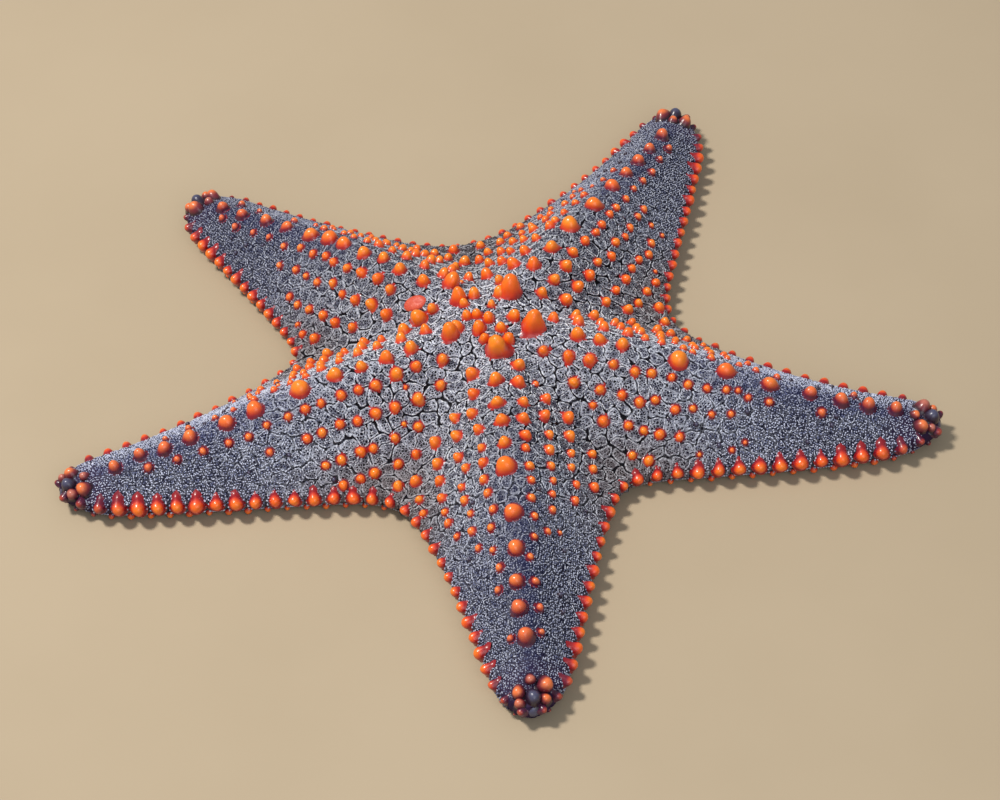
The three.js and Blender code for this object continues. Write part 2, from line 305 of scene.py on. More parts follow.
def make_mesh(name, points, faces, values=None, uv=None):
    """A piece from points in millimetres, faces (arrays of 3 or 4 indices a row) and values."""
    mesh = bpy.data.meshes.new(name)
    points = world(points)
    corners = np.concatenate([block.ravel() for block in faces]).astype(np.int32)
    sizes = np.concatenate([np.full(len(block), block.shape[1]) for block in faces])
    mesh.vertices.add(len(points))
    mesh.vertices.foreach_set("co", points.ravel().astype(np.float32))
    mesh.loops.add(len(corners))
    mesh.loops.foreach_set("vertex_index", corners)
    mesh.polygons.add(len(sizes))
    starts = np.concatenate([[0], np.cumsum(sizes)[:-1]]).astype(np.int32)
    mesh.polygons.foreach_set("loop_start", starts)
    for key, value in (values or {}).items():
        layer = mesh.attributes.new(key, "FLOAT", "POINT")
        layer.data.foreach_set("value", np.asarray(value, np.float32))
    if uv is not None:
        layer = mesh.uv_layers.new(name="OFBake")
        layer.data.foreach_set("uv", np.asarray(uv, np.float32)[corners].ravel())
    mesh.update(calc_edges=True)
    mesh.shade_smooth()
    piece = bpy.data.objects.new(name, mesh)
    bpy.context.scene.collection.objects.link(piece)
    return piece


def finish_piece(piece, material):
    piece.data.materials.append(material)
    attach(piece, "root")
    return piece


def grid_faces(index):
    """The quads between neighbours of a grid of point numbers."""
    return np.stack([index[:-1, :-1], index[:-1, 1:], index[1:, 1:], index[1:, :-1]], -1).reshape(-1, 4)


# ---- tubercle places ----

PRIMARY_RING = 13.0
PRIMARY_TALL = 2.35
PRIMARY_STATION = 0.1
RIDGE_SCATTER = 0.4

# Side rows: where their tubercles stand, how far apart the rows are and where each row ends.
STATIONS = [14.5, 22.5, 30, 37, 43.5, 49.3, 54.6, 59.6, 64.8, 70.3, 76.5, 83, 90, 97.5, 105, 113]
ROW_PITCH = 6.6
ROW_ENDS = {1: 110, 2: 78, 3: 68, 4: 60, 5: 52}
ROW_SCATTER = (0.5, 0.45)
ROW_SIZE_SPREAD = (0.82, 1.12)
EDGE_ROOM = 2.2

# Tables by distance from the disc centre: a tubercle's height over its radius, its radius in the
# side rows, the scale of those on the ridge, how the rows draw together, how many of their places
# are filled, and how much of an arm's row shift holds.
TALLNESS = ([10, 35, 60, 85, 110], [1.9, 1.7, 1.28, 1.3, 1.6])
ROW_RADIUS = ([10, 30, 50, 65, 80, 110], [1.85, 1.68, 1.4, 1.22, 1.1, 1.2])
RIDGE_SCALE = ([38, 55], [0.88, 1.04])
ROW_PULL = ([30, 60, 110], [1.0, 0.95, 0.62])
ROW_FILLED = ([60, 80, 110], [1.0, 0.85, 0.6])
SHIFT_SHARE = ([10, 25, 95, 115], [0, 1, 1, 0])

# Small tubercles in no row, and the clearance they keep.
SMALL_TRIES = 46
SMALL_RADIUS = (0.6, 1.05)
SMALL_TALL = 1.3
SMALL_START = 18
SMALL_END_SHARE = 0.62
SMALL_EDGE_ROOM = 3.0
SMALL_CLEARANCE = 1.5
ROW_OVERLAP = 0.9
ROW_CLEARANCE = 0.6

# Tubercles round the anus and between the five largest, as (x, y, radius).
CENTRE_KNOBS = [
    (-0.4, -1.5, 1.7), (-3.8, 0.6, 1.5), (-3.4, -4.6, 1.9), (3.0, -5.1, 1.5), (-6.7, 0.9, 1.5),
    (6.9, -0.6, 1.8), (-1.9, -8.6, 1.5), (4.9, -8.9, 1.7), (-10.0, -3.0, 1.9), (-7.5, 6.8, 1.4),
    (0.6, 4.6, 1.2), (3.2, 10.4, 1.9), (-4.5, 10.9, 1.8), (-21.2, 6.1, 2.5), (-11.3, 17.5, 2.5),
]

SIEVE = dict(along=24.2, across=7.3, length=7.2, width=4.6, rise=1.0, heading=math.radians(-8.0))
SIEVE_MIDDLE = STAR[1].beside(SIEVE["along"], SIEVE["across"])
SIEVE_CLEARANCE = 1.6


def ridge_knobs(arm):
    return [(along, RNG.normal(0, RIDGE_SCATTER), radius * read(RIDGE_SCALE, along), read(TALLNESS, along))
            for along, radius in arm.looks["ridge"]]


def row_knobs(arm):
    """Smaller tubercles in rows along the arm, which end one by one on the way to the tip."""
    spots = []
    for row, end in ROW_ENDS.items():
        for side in SIDES:
            for station, following in zip(STATIONS, STATIONS[1:]):
                along = station + 0.5 * (row % 2) * (following - station) + RNG.normal(0, ROW_SCATTER[0])
                across = side * row * ROW_PITCH * read(ROW_PULL, along) + RNG.normal(0, ROW_SCATTER[1])
                radius = read(ROW_RADIUS, along) * RNG.uniform(*ROW_SIZE_SPREAD)
                filled = RNG.random() < read(ROW_FILLED, along)
                if filled and along < end and arm.room(side, along) - abs(across) > EDGE_ROOM:
                    spots.append((along, across, radius, read(TALLNESS, along)))
    return spots


def ordered_knobs(arm):
    """The arm's ridge and side rows, with the rows' own shift."""
    shift = arm.looks["row_shift"]
    return [(along, across + shift * read(SHIFT_SHARE, along), radius, tall)
            for along, across, radius, tall in ridge_knobs(arm) + row_knobs(arm)]


def scattered_knobs(arm):
    """Small tubercles that stand in no row, most of them near the disc."""
    spots = []
    for _ in range(SMALL_TRIES):
        along = RNG.uniform(SMALL_START, SMALL_END_SHARE * arm.reach)
        side = RNG.choice(SIDES)
        across = side * RNG.uniform(3, max(arm.room(side, along) - SMALL_EDGE_ROOM, 4))
        spots.append((along, across, RNG.uniform(*SMALL_RADIUS), SMALL_TALL))
    return spots


def sieve_distance(x, y):
    """1 on the edge of the sieve plate, less inside it."""
    c, s = math.cos(SIEVE["heading"]), math.sin(SIEVE["heading"])
    x, y = x - SIEVE_MIDDLE[0], y - SIEVE_MIDDLE[1]
    return np.hypot((c * x + s * y) / (SIEVE["length"] / 2), (c * y - s * x) / (SIEVE["width"] / 2))


def collect_knobs():
    """Rows of x, y, radius, height and station (0 at the disc centre, 1 at the tip)."""
    knobs = []
    for arm in STAR:
        radius = arm.looks["primary"]
        knobs.append((*arm.place(PRIMARY_RING, 0.0), radius, radius * PRIMARY_TALL, PRIMARY_STATION))
    for x, y, radius in CENTRE_KNOBS:
        knobs.append((x, y, radius, radius * read(TALLNESS, 0), math.hypot(x, y) / STAR[0].tip))
    for make, overlap, gap in (
            (ordered_knobs, ROW_OVERLAP, ROW_CLEARANCE), (scattered_knobs, 1.0, SMALL_CLEARANCE)):
        for arm in STAR:
            for along, across, radius, tall in make(arm):
                x, y = arm.beside(along, across)
                clear = all(
                    math.hypot(x - k[0], y - k[1]) > overlap * (radius + k[2]) + gap for k in knobs)
                if clear and sieve_distance(x, y) > SIEVE_CLEARANCE:
                    knobs.append((x, y, radius, radius * tall, along / arm.tip))
    return np.array(knobs)


KNOBS = collect_knobs()
KNOB_POINTS = upper_point(KNOBS[:, 0], KNOBS[:, 1])


# ---- pads: the rounded islands of skin between the tubercles ----

PAD_SPACING = 3.1
PAD_CANDIDATES = 30000
PAD_CLEARANCE = 1.25
PAD_HEIGHT = 0.42
PAD_NEIGHBOURS = 6
PAD_WANDER = 0.42
PAD_STRENGTH = ([0, 0.35, 0.6, 0.95], [1.0, 1.0, 0.4, 0.12])
GROOVE_WIDTH = 0.3
CORNER_SHARPNESS = 3.8
FIELD = 140
FAR = 9.0


def scatter_pads():
    """Middles of the pads, spaced apart and clear of the tubercles."""
    spread = RNG.uniform(-FIELD, FIELD, (PAD_CANDIDATES * 3, 2))
    spread = spread[swell(spread[:, 0], spread[:, 1]) > 0][:PAD_CANDIDATES]
    candidates = upper_point(spread[:, 0], spread[:, 1])
    taken = np.zeros_like(candidates)
    count = 0
    for point in candidates:
        if count and np.min(np.sum((taken[:count] - point) ** 2, -1)) < PAD_SPACING**2:
            continue
        gap = np.sqrt(np.sum((KNOB_POINTS - point) ** 2, -1)) - KNOBS[:, 2]
        if np.min(gap) > PAD_CLEARANCE:
            taken[count] = point
            count += 1
    return taken[:count]


def tree_of(points):
    tree = KDTree(len(points))
    for index, point in enumerate(points):
        tree.insert(point, index)
    tree.balance()
    return tree


def wander(points):
    """The points pushed about a little, so that borders between pads curve."""
    x, y, z = points.T
    push = [np.sin(1.5 * y + 1.3 * np.sin(0.9 * x + z)), np.sin(1.4 * x + 1.5 * np.sin(0.8 * y - z)),
            np.sin(1.2 * z + 1.4 * np.sin(1.1 * x))]
    return points + PAD_WANDER * np.stack(push, -1)


PAD_TREE = tree_of(scatter_pads())
KNOB_TREE = tree_of(KNOB_POINTS)


def pad_cell(points):
    """Distance to the border of each point's own pad, and the direction to that border."""
    border, toward = np.empty(len(points)), np.empty((len(points), 3))
    for index, point in enumerate(wander(points)):
        own, *others = PAD_TREE.find_n(point, PAD_NEIGHBOURS)
        total, nearest = 0.0, math.inf
        for other in others:
            span = other[0] - own[0]
            gap = (other[2] ** 2 - own[2] ** 2) / (2 * span.length)
            total += math.exp(-CORNER_SHARPNESS * gap)
            if gap < nearest:
                nearest, way = gap, span / span.length
        border[index] = -math.log(total) / CORNER_SHARPNESS
        toward[index] = way
    return border, toward


def knob_distance(points):
    """Distance of each point to the foot of the nearest tubercle."""
    result = np.empty(len(points))
    for index, point in enumerate(points):
        near = KNOB_TREE.find(point)
        result[index] = near[2] - KNOBS[near[1], 2]
    return result


def pad_strength(station):
    """How far the pads stand out, 1 over the disc and less towards the tips."""
    return np.interp(station, *PAD_STRENGTH)


def pad_relief(border, station):
    """Height of the skin over its grooves."""
    strength = pad_strength(station)
    dome = 1 - np.exp(-((np.maximum(border, 0) / GROOVE_WIDTH) ** 1.5))
    crown = 0.25 * np.clip(border / 2.0, 0, 1)
    return PAD_HEIGHT * (0.8 * dome + crown) * strength + PAD_HEIGHT * 0.4 * (1 - strength)


# ---- the rim, from the edge of the upper surface down to the floor ----

FOOT_HEIGHT = 0.35
PLATE_SEAM = 0.55
SEAM_DEPTH = 0.4
SEAM_WIDTH = 0.06
PLATE_GAP_WIDTH = 0.09
RIM_KNOB_SHARE = 0.2


class Rim:
    """One side of an arm's edge, from the notch to the tip, measured by its length."""

    def __init__(self, arm, side):
        self.arm = arm
        self.along = arm.edge_along[side]
        self.x, self.y = arm.place(self.along, arm.edge_across[side])
        self.x[-1], self.y[-1] = arm.beside(arm.tip, 0.0)
        steps = np.hypot(np.diff(self.x), np.diff(self.y))
        self.length = np.concatenate([[0], np.cumsum(steps)])
        self.out = outward(self.x, self.y)
        self.plates = round(self.length[-1] / arm.looks["pitch"])
        self.pitch = self.length[-1] / self.plates

    def at(self, length):
        x = np.interp(length, self.length, self.x)
        y = np.interp(length, self.length, self.y)
        out = np.stack([np.interp(length, self.length, self.out[:, k]) for k in (0, 1)], -1)
        return x, y, unit(out)

    def station(self, length):
        return np.interp(length, self.length, self.along) / self.arm.tip


def rim_offset(share):
    """How far the rim stands out at a share of the way from its top edge to its foot."""
    bulge = RIM_BULGE * np.sin(np.pi * np.clip(share / 0.9, 0, 1)) ** 0.8
    foot = RIM_UNDERCUT * smoothstep(0.55, 1.0, share) ** 1.3
    return bulge - foot


def rim_point(x, y, out, share):
    offset = rim_offset(share)
    height = RIM_HEIGHT - (RIM_HEIGHT - FOOT_HEIGHT) * share
    return np.stack([x + out[..., 0] * offset, y + out[..., 1] * offset, height], -1)


for arm in STAR:
    arm.rim = {side: Rim(arm, side) for side in SIDES}
RIMS = [(arm, side, arm.rim[side]) for arm in STAR for side in SIDES]


# ---- the body's fine mesh ----

TIP_PULL = 10.0
WELD_CELLS = 500
RIDGE_SHARE = 0.45
LOWEST = 0.1

# Where the sharp edge between top and rim is smoothed: by the place across an arm, by the way down
# the rim, and by station at the tip.
CREASE_EDGE = (0.93, 1.0)
CREASE_SHARE = (0.05, 0.3)
CREASE_TIP = (0.975, 0.995)
CREASE_START = 0.3
CREASE_ROUNDS = 14

# The rim's plates stand out by a share of the pads' height, less so below. The underside ripples.
PLATE_SHARE = 0.6
PLATE_LOSS = 0.7
RIPPLE_HEIGHT = 0.1
RIPPLE_RATE = 1.5


def row_along(arm, row, column):
    """Distance along the arm of a grid's row, in the column from -1 (right edge) to 1 (left edge)."""
    notch = arm.notch[-1] + (arm.notch[1] - arm.notch[-1]) * (column + 1) / 2
    share = np.clip((row - HUB_ROWS) / ARM_ROWS, 0, 1)
    outer = notch + (arm.tip - notch) * (1 - (1 - share) ** ROW_CROWDING)
    return np.where(row <= HUB_ROWS, notch * row / HUB_ROWS, outer)


def sector_plan(arm, columns):
    """Plan places of a grid over one arm's share of the body, as rows by columns."""
    row = np.arange(HUB_ROWS + ARM_ROWS + 1)[:, None] + 0 * columns
    column = 0 * row + columns
    along = row_along(arm, row, column)
    middle = arm.midline(along)
    edge = np.where(column < 0, arm.edge(-1, along), arm.edge(1, along))
    across = middle + (edge - middle) * np.abs(column)
    across[-1] = middle[-1]
    return along, across, column


def upper_grid(arm):
    share = np.linspace(-1, 1, UPPER_COLUMNS + 1)
    columns = np.sign(share) * (1 - (1 - np.abs(share)) ** COLUMN_CROWDING)
    along, across, column = sector_plan(arm, columns)
    points = upper_point(*arm.place(along, across))
    points[HUB_ROWS:, [0, -1], 2] = RIM_HEIGHT
    points[-1, :, 2] = RIM_HEIGHT
    return points, dict(station=along / arm.tip, edge=np.abs(column), zone=0 * column)


def rim_grid(arm, side):
    share = np.linspace(0, 1, RIM_COLUMNS + 1)
    row = np.arange(HUB_ROWS, HUB_ROWS + ARM_ROWS + 1)
    along = row_along(arm, row, side)
    length = np.interp(along, arm.edge_along[side], arm.rim[side].length)
    across = arm.edge(side, along)
    across[-1] = float(arm.midline(arm.tip))
    x, y = arm.place(along, across)
    points = rim_point(x[:, None], y[:, None], outward(x, y)[:, None], share + 0 * x[:, None])
    phase = (length / arm.rim[side].pitch) % 1
    shape = points.shape[:2]
    values = dict(
        station=np.broadcast_to((along / arm.tip)[:, None], shape), edge=np.ones(shape),
        zone=1 + np.broadcast_to(share, shape), phase=np.broadcast_to(phase[:, None], shape))
    return points, values


def lower_grid(arm):
    """The underside, from foot to foot of the rim, with the furrow and the arm's share of the mouth."""
    along, across, column = sector_plan(arm, np.linspace(-1, 1, LOWER_COLUMNS + 1))
    feet = [outward(*arm.place(along[HUB_ROWS:, index], across[HUB_ROWS:, index])) * rim_offset(np.ones(1))
            for index in (0, -1)]
    x, y = arm.place(along, across)
    left = (column[HUB_ROWS:, :, None] + 1) / 2
    pull = np.abs(column[HUB_ROWS:, :, None])
    pull = pull + (1 - pull) * smoothstep(arm.tip - TIP_PULL, arm.tip, along[HUB_ROWS:, :, None])
    shift = (feet[0][:, None] * (1 - left) + feet[1][:, None] * left) * pull
    shift[-1] = feet[1][-1]
    x[HUB_ROWS:] += shift[..., 0]
    y[HUB_ROWS:] += shift[..., 1]
    fade = smoothstep(0, FURROW_RUNOUT, arm.tip - FURROW_TIP_GAP + FURROW_RUNOUT - along)
    aside = np.abs(across - arm.midline(along))
    furrow = FURROW_DEPTH * fade * (1 - smoothstep(0, FURROW_HALF_WIDTH, aside))
    mouth = MOUTH_DEPTH * (1 - smoothstep(0, MOUTH_RADIUS, np.hypot(x, y)))
    points = np.stack([x, y, FOOT_HEIGHT + np.maximum(furrow, mouth)], -1)
    return points, dict(station=along / arm.tip, edge=np.abs(column), zone=3 + 0 * column)


def triangles_of(shape, start, flip):
    quads = grid_faces(start + np.arange(shape[0] * shape[1]).reshape(shape))
    if flip:
        quads = quads[:, ::-1]
    return np.concatenate([quads[:, [0, 1, 2]], quads[:, [0, 2, 3]]])


def normals_of(points, triangles):
    corner = points[triangles]
    cross = np.cross(corner[:, 1] - corner[:, 0], corner[:, 2] - corner[:, 0])
    normal = np.zeros_like(points)
    for k in range(3):
        for axis in range(3):
            normal[:, axis] += np.bincount(triangles[:, k], cross[:, axis], len(points))
    return normal / np.maximum(np.linalg.norm(normal, axis=-1, keepdims=True), 1e-9)


def smooth_points(points, triangles, weight, rounds):
    """The points drawn towards the mean of their neighbours, by their weight, round after round."""
    edges = np.concatenate([triangles[:, [0, 1]], triangles[:, [1, 2]], triangles[:, [2, 0]]])
    count = np.bincount(edges[:, 0], minlength=len(points))
    for _ in range(rounds):
        sums = [np.bincount(edges[:, 0], points[edges[:, 1], k], len(points)) for k in range(3)]
        points = points + weight[:, None] * (np.stack(sums, -1) / count[:, None] - points)
    return points


def build_body():
    """The whole body as one closed mesh: points, triangles and a value of each kind per point."""
    names = ("station", "edge", "zone", "phase", "shade")
    points, triangles, values, start = [], [], {name: [] for name in names}, 0
    for arm in STAR:
        blocks = [(upper_grid(arm), True), (rim_grid(arm, 1), True), (rim_grid(arm, -1), False),
                  (lower_grid(arm), False)]
        for (grid, kinds), flip in blocks:
            triangles.append(triangles_of(grid.shape[:2], start, flip))
            points.append(grid.reshape(-1, 3))
            # shade: how much darker this place is painted, partly painted shade on the far arms and far
            # side of the disc
            kinds["shade"] = shade_at(grid[..., 0], grid[..., 1])
            for name in names:
                kind = kinds.get(name, np.zeros(grid.shape[:2]))
                values[name].append(np.asarray(kind).ravel())
            start += len(points[-1])
    points, triangles = np.concatenate(points), np.concatenate(triangles)
    values = {name: np.concatenate(parts) for name, parts in values.items()}
    cells = np.round(points * WELD_CELLS)
    _, first, index = np.unique(cells, axis=0, return_index=True, return_inverse=True)
    triangles = index.reshape(-1)[triangles]
    a, b, c = triangles.T
    triangles = triangles[(a != b) & (b != c) & (c != a)]
    return points[first], triangles, {name: kind[first] for name, kind in values.items()}


def build_skin():
    """The skin: pads and grooves above, plates round the rim, plain below."""
    points, triangles, values = build_body()
    zone, edge, station = values["zone"], values["edge"], values["station"]
    low = lowness(points)
    share = np.clip(zone - 1, 0, 1)
    upper, lower = zone < 1, zone >= 3
    rim = (zone >= 1) & (zone <= 2)
    crease = np.where(upper, smoothstep(*CREASE_EDGE, edge), 1 - smoothstep(*CREASE_SHARE, share))
    crease = np.maximum(crease, smoothstep(*CREASE_TIP, station))
    crease = np.where(lower | (station < CREASE_START), 0, crease)
    points = smooth_points(points, triangles, 0.5 * crease, CREASE_ROUNDS)
    normal = normals_of(points, triangles)
    border, near = np.full(len(points), FAR), np.full(len(points), FAR)
    border[upper] = pad_cell(points[upper])[0]
    near[upper] = knob_distance(points[upper])
    plate_gap = np.minimum(values["phase"], 1 - values["phase"])
    seam = np.exp(-(((share - PLATE_SEAM) / SEAM_WIDTH) ** 2))
    between = np.exp(-((plate_gap / PLATE_GAP_WIDTH) ** 2))
    fading = np.clip(4 * share, 0, 1) * np.clip(6 * (1 - share), 0, 1)
    cut = np.maximum(seam, between) * SEAM_DEPTH * fading
    plates = PAD_HEIGHT * PLATE_SHARE * (1 - PLATE_LOSS * np.clip(2 * share - 1, 0, 1)) - cut
    ripples = RIPPLE_HEIGHT * np.sin(points[:, 0] * RIPPLE_RATE) * np.sin(points[:, 1] * RIPPLE_RATE)
    lift = np.select([upper, rim, lower], [pad_relief(border, station), plates, ripples])
    points = points + normal * (lift - COAT_DEPTH)[:, None]
    points[:, 2] = np.maximum(points[:, 2], LOWEST)
    seam_gap = np.minimum(np.abs(share - PLATE_SEAM) * RIM_HEIGHT, plate_gap * ARMS["front"]["pitch"])
    border = np.where(rim, np.maximum(seam_gap, 2 * (1 - fading)), border)
    ridge = np.where(upper, 1 - smoothstep(0.0, RIDGE_SHARE, edge), 0)
    kinds = dict(station=station, low=low, border=border, near=near, ridge=ridge, shade=values["shade"])
    return make_mesh("skin", points, [triangles], kinds)


# ---- small bodies: beads (granules) and domes (tubercles, tube feet, spines) ----


def crossways(normal, heading):
    """Unit directions at the surface: along the heading, square to it, and the normal itself."""
    ahead = heading - normal * np.sum(heading * normal, -1, keepdims=True)
    ahead /= np.maximum(np.linalg.norm(ahead, axis=-1, keepdims=True), 1e-9)
    return ahead, np.cross(normal, ahead), normal


def full_turn(sides):
    return np.arange(sides) * 2 * np.pi / sides


def ring_of(root, axes, forward, sideways, rise):
    """One ring of points round each root, by how far each lies forward, sideways and up."""
    ahead, aside, normal = axes
    ring = root[:, None] + ahead[:, None] * forward[..., None] + aside[:, None] * sideways[..., None]
    return ring + normal[:, None] * rise[:, None, None]


def join_rings(name, rings, top, values, rises=(), patches=None):
    """Many small bodies as one mesh, each a stack of rings closed by its top point."""
    count, sides = rings[0].shape[:2]
    points = np.concatenate([*rings, top[:, None]], 1)
    each = points.shape[1]
    start = np.arange(count)[:, None, None] * each
    k = np.arange(sides)
    following = (k + 1) % sides
    band = np.stack([k, following, following + sides, k + sides], -1)
    bands = np.concatenate([band + ring * sides for ring in range(len(rings) - 1)])
    cap = np.stack([k, following, 0 * k + sides], -1) + (len(rings) - 1) * sides
    faces = [(start + bands).reshape(-1, 4), (start + cap).reshape(-1, 3)]
    kinds = {key: np.repeat(value, each) for key, value in values.items()}
    if rises:
        kinds["rise"] = np.tile(np.append(np.repeat(rises, sides), 1.0), count)
    return make_mesh(name, points.reshape(-1, 3), faces, kinds, patches)


BEAD_SIDES = 6
BEAD_RINGS = [(1.0, -0.4), (0.74, 0.62)]
PATCH = 0.0015


def beads(name, root, normal, heading, long, short, height, values, patch_place):
    """Low beads of six sides, as one mesh, each with its small patch of the OFBake map."""
    axes, turn = crossways(normal, heading), full_turn(BEAD_SIDES)
    rings, patches = [], []
    for spread, rise in BEAD_RINGS:
        u, v = spread * np.cos(turn), spread * np.sin(turn)
        rings.append(ring_of(root, axes, long[:, None] * u, short[:, None] * v, rise * height))
        patches.append(patch_place[:, None] + PATCH * np.stack([u, v], -1))
    patches.append(patch_place[:, None])
    patches = np.concatenate(patches, 1).reshape(-1, 2)
    return join_rings(name, rings, root + normal * height[:, None], values, patches=patches)


# A tubercle from its foot to near its top: radius, height, and how far webs and tail still stand out.
DOME = [(1.16, -0.04, 1.0, 1.0), (1.07, 0.03, 0.55, 0.86), (1.0, 0.14, 0.16, 0.62), (0.97, 0.32, 0.04, 0.4),
        (0.88, 0.52, 0.0, 0.2), (0.74, 0.7, 0.0, 0.06), (0.54, 0.86, 0.0, 0.0), (0.29, 0.965, 0.0, 0.0)]
WEBS = 4
WEB_REACH = 0.9
WEB_SIZE = (0.2, 1.0)
WEB_TURN = 0.6
WEB_SHARPNESS = 10
LEAN = 0.06
OVAL = 0.045
THREE_SIDED = 0.035


def domes(name, root, normal, heading, radius, height, values, sides, web, tail, ground=None,
          lumps=0.0, point=4):
    """Blunt tubercles as one mesh. Their feet run out into a few pointed webs of skin, and one
    longer tail in the direction of heading."""
    axes, turn, count = crossways(normal, heading), full_turn(sides), len(root)
    reach = np.zeros((count, sides))
    for k in range(WEBS):
        angle = 2 * np.pi * k / WEBS + RNG.uniform(-WEB_TURN, WEB_TURN, (count, 1))
        size = RNG.uniform(*WEB_SIZE, (count, 1))
        reach = np.maximum(reach, size * np.clip(np.cos((turn - angle) / 2), 0, 1) ** WEB_SHARPNESS)
    reach = reach * web * np.minimum(WEB_REACH / radius, 0.5)[:, None]
    trail = tail * np.clip(np.cos(turn), 0, 1) ** point
    lean = RNG.normal(0, LEAN, (count, 2))
    dents = RNG.uniform(0, 2 * np.pi, (2, count, 1))
    uneven = 1 + OVAL * np.cos(2 * turn + dents[0]) + THREE_SIDED * np.cos(3 * turn + dents[1])
    rings = []
    for spread, up, web_flare, tail_flare in DOME:
        swirl = RNG.uniform(0, 2 * np.pi, (2, count, 1))
        lump = lumps * (np.cos(2 * turn + swirl[0]) + np.cos(4 * turn + swirl[1]))
        wide = spread * (uneven + (lump + RNG.normal(0, lumps, (count, 1))))
        wide = wide + reach * web_flare + trail * tail_flare
        u = radius[:, None] * (wide * np.cos(turn) + up * lean[:, :1])
        v = radius[:, None] * (wide * np.sin(turn) + up * lean[:, 1:])
        rings.append(ring_of(root, axes, u, v, up * height))
    if ground:
        rings[0] = ground(rings[0])
    return join_rings(name, rings, root + normal * height[:, None], values, [row[1] for row in DOME])


# ---- granules ----

GRANULE_PITCH = 0.76
GRANULE_ROW = 0.87
GRANULE_START = 0.7
GRANULE_END = 0.2
GRANULE_SCATTER = 0.34
GRANULE_ASIDE = 0.3
SPINE_SAMPLES = 2000
SECTION_SAMPLES = 90
TIP_BARE = 0.972
KNOB_BARE = 0.32
SIEVE_BARE = 1.08
GROOVE_BARE = 0.13
OUTLINE_REACH = 0.85
OUTLINE_LINE = 0.4
OUTLINE_LONG = 0.44
OUTLINE_SHORT = 0.14
GRANULE_LONG = (0.2, 0.36)
GRANULE_HEIGHT = (0.15, 0.24)
UNEVEN = (0.75, 1.25)
INNER_END = 0.42

# Tables by station: the share of places left bare as pits, and the half width of a granule.
PITTED = ([0.3, 0.6], [0.64, 0.06])
GRANULE_SHORT = ([0.3, 0.6], [0.15, 0.2])


def lengths_along(points):
    steps = np.linalg.norm(np.diff(points, axis=0), axis=-1)
    return np.concatenate([[0], np.cumsum(steps)])


def granule_places(arm):
    """Even rows over an arm's upper side: place along it, place across it, and that as -1 to 1."""
    along = np.linspace(0, arm.tip - GRANULE_END, SPINE_SAMPLES)
    length = lengths_along(upper_point(*arm.place(along, arm.midline(along))))
    places = []
    for index, stop in enumerate(np.arange(GRANULE_START, length[-1], GRANULE_PITCH * GRANULE_ROW)):
        here = float(np.interp(stop, length, along))
        across = np.linspace(float(arm.edge(-1, here)), float(arm.edge(1, here)), SECTION_SAMPLES)
        arc = lengths_along(upper_point(*arm.place(here, across)))
        stops = (np.arange(int(arc[-1] / GRANULE_PITCH) + 1) + 0.5 * (index % 2)) * GRANULE_PITCH
        stops = stops + RNG.uniform(-GRANULE_ASIDE, GRANULE_ASIDE, len(stops)) * GRANULE_PITCH
        stops = stops[(stops > 0) & (stops < arc[-1])]
        column = 2 * stops / max(arc[-1], 1) - 1
        places.append(np.stack([np.full(len(stops), here), np.interp(stops, arc, across), column], -1))
    places = np.concatenate(places)
    places[:, 0] += RNG.uniform(-GRANULE_SCATTER, GRANULE_SCATTER, len(places)) * GRANULE_PITCH
    return places


def upper_granules(arm):
    """An arm's granules. Those beside a groove lie along it, as the outline of its pad."""
    places = granule_places(arm)
    x, y = arm.place(places[:, 0], places[:, 1])
    root, normal = upper_point(x, y), upper_normal(x, y)
    border, toward = pad_cell(root)
    station = places[:, 0] / arm.tip
    strength = pad_strength(station)
    outlined = (border < OUTLINE_REACH) & (RNG.random(len(root)) < strength)
    bare = (border < GROOVE_BARE - 0.3 * (1 - strength)) | (station > TIP_BARE)
    bare |= (knob_distance(root) < KNOB_BARE) | (sieve_distance(x, y) < SIEVE_BARE)
    pitted = (RNG.random(len(root)) < np.interp(station, *PITTED)) & ~outlined
    keep = ~(bare | pitted)
    root, normal, border, toward, station, outlined, places = (
        value[keep] for value in (root, normal, border, toward, station, outlined, places))
    root = root + np.where(outlined, border - OUTLINE_LINE, 0)[:, None] * toward
    drift = RNG.normal(0, 1, (len(root), 3))
    heading = np.where(outlined[:, None], np.cross(normal, toward), drift)
    long = np.where(outlined, OUTLINE_LONG, RNG.uniform(*GRANULE_LONG, len(root)))
    short = np.where(outlined, OUTLINE_SHORT, np.interp(station, *GRANULE_SHORT))
    short = short * RNG.uniform(*UNEVEN, len(root))
    height = RNG.uniform(*GRANULE_HEIGHT, len(root))
    border = np.where(outlined, OUTLINE_LINE, border)
    root = root + normal * (pad_relief(border, station) - COAT_DEPTH)[:, None]
    values = dict(
        station=station, low=lowness(root), tone=RNG.random(len(root)), pale=1.0 * outlined,
        ridge=1 - smoothstep(0.0, RIDGE_SHARE, np.abs(places[:, 2])),
        shade=shade_at(root[:, 0], root[:, 1]))
    patch = np.stack([0.5 + 0.47 * places[:, 2], 0.02 + 0.96 * station], -1)
    pieces = []
    for name, chosen in (("inner", station < INNER_END), ("outer", station >= INNER_END)):
        part = {key: value[chosen] for key, value in values.items()}
        pieces.append(beads(
            f"granules_{arm.name}_{name}", root[chosen], normal[chosen], heading[chosen],
            long[chosen], short[chosen], height[chosen], part, patch[chosen]))
    return pieces


RIM_GRANULE_ROWS = 8
RIM_GRANULE_SHARES = (0.06, 0.86)
RIM_GRANULE_PITCH = 0.82
RIM_GRANULE_SIZES = [(0.34, 0.46), (0.24, 0.3), (0.16, 0.24)]
RIM_GRANULE_SINK = 0.12
RIM_TIP_BARE = 0.965
RIM_KNOB_BARE = 1.7
SEAM_BARE = 0.05
PLATE_GAP_BARE = 0.07


def split_rows(rows):
    """Points, directions and further columns of the blocks of rows."""
    rows = np.concatenate(rows)
    return rows[:, :3], rows[:, 3:6], rows[:, 6:].T


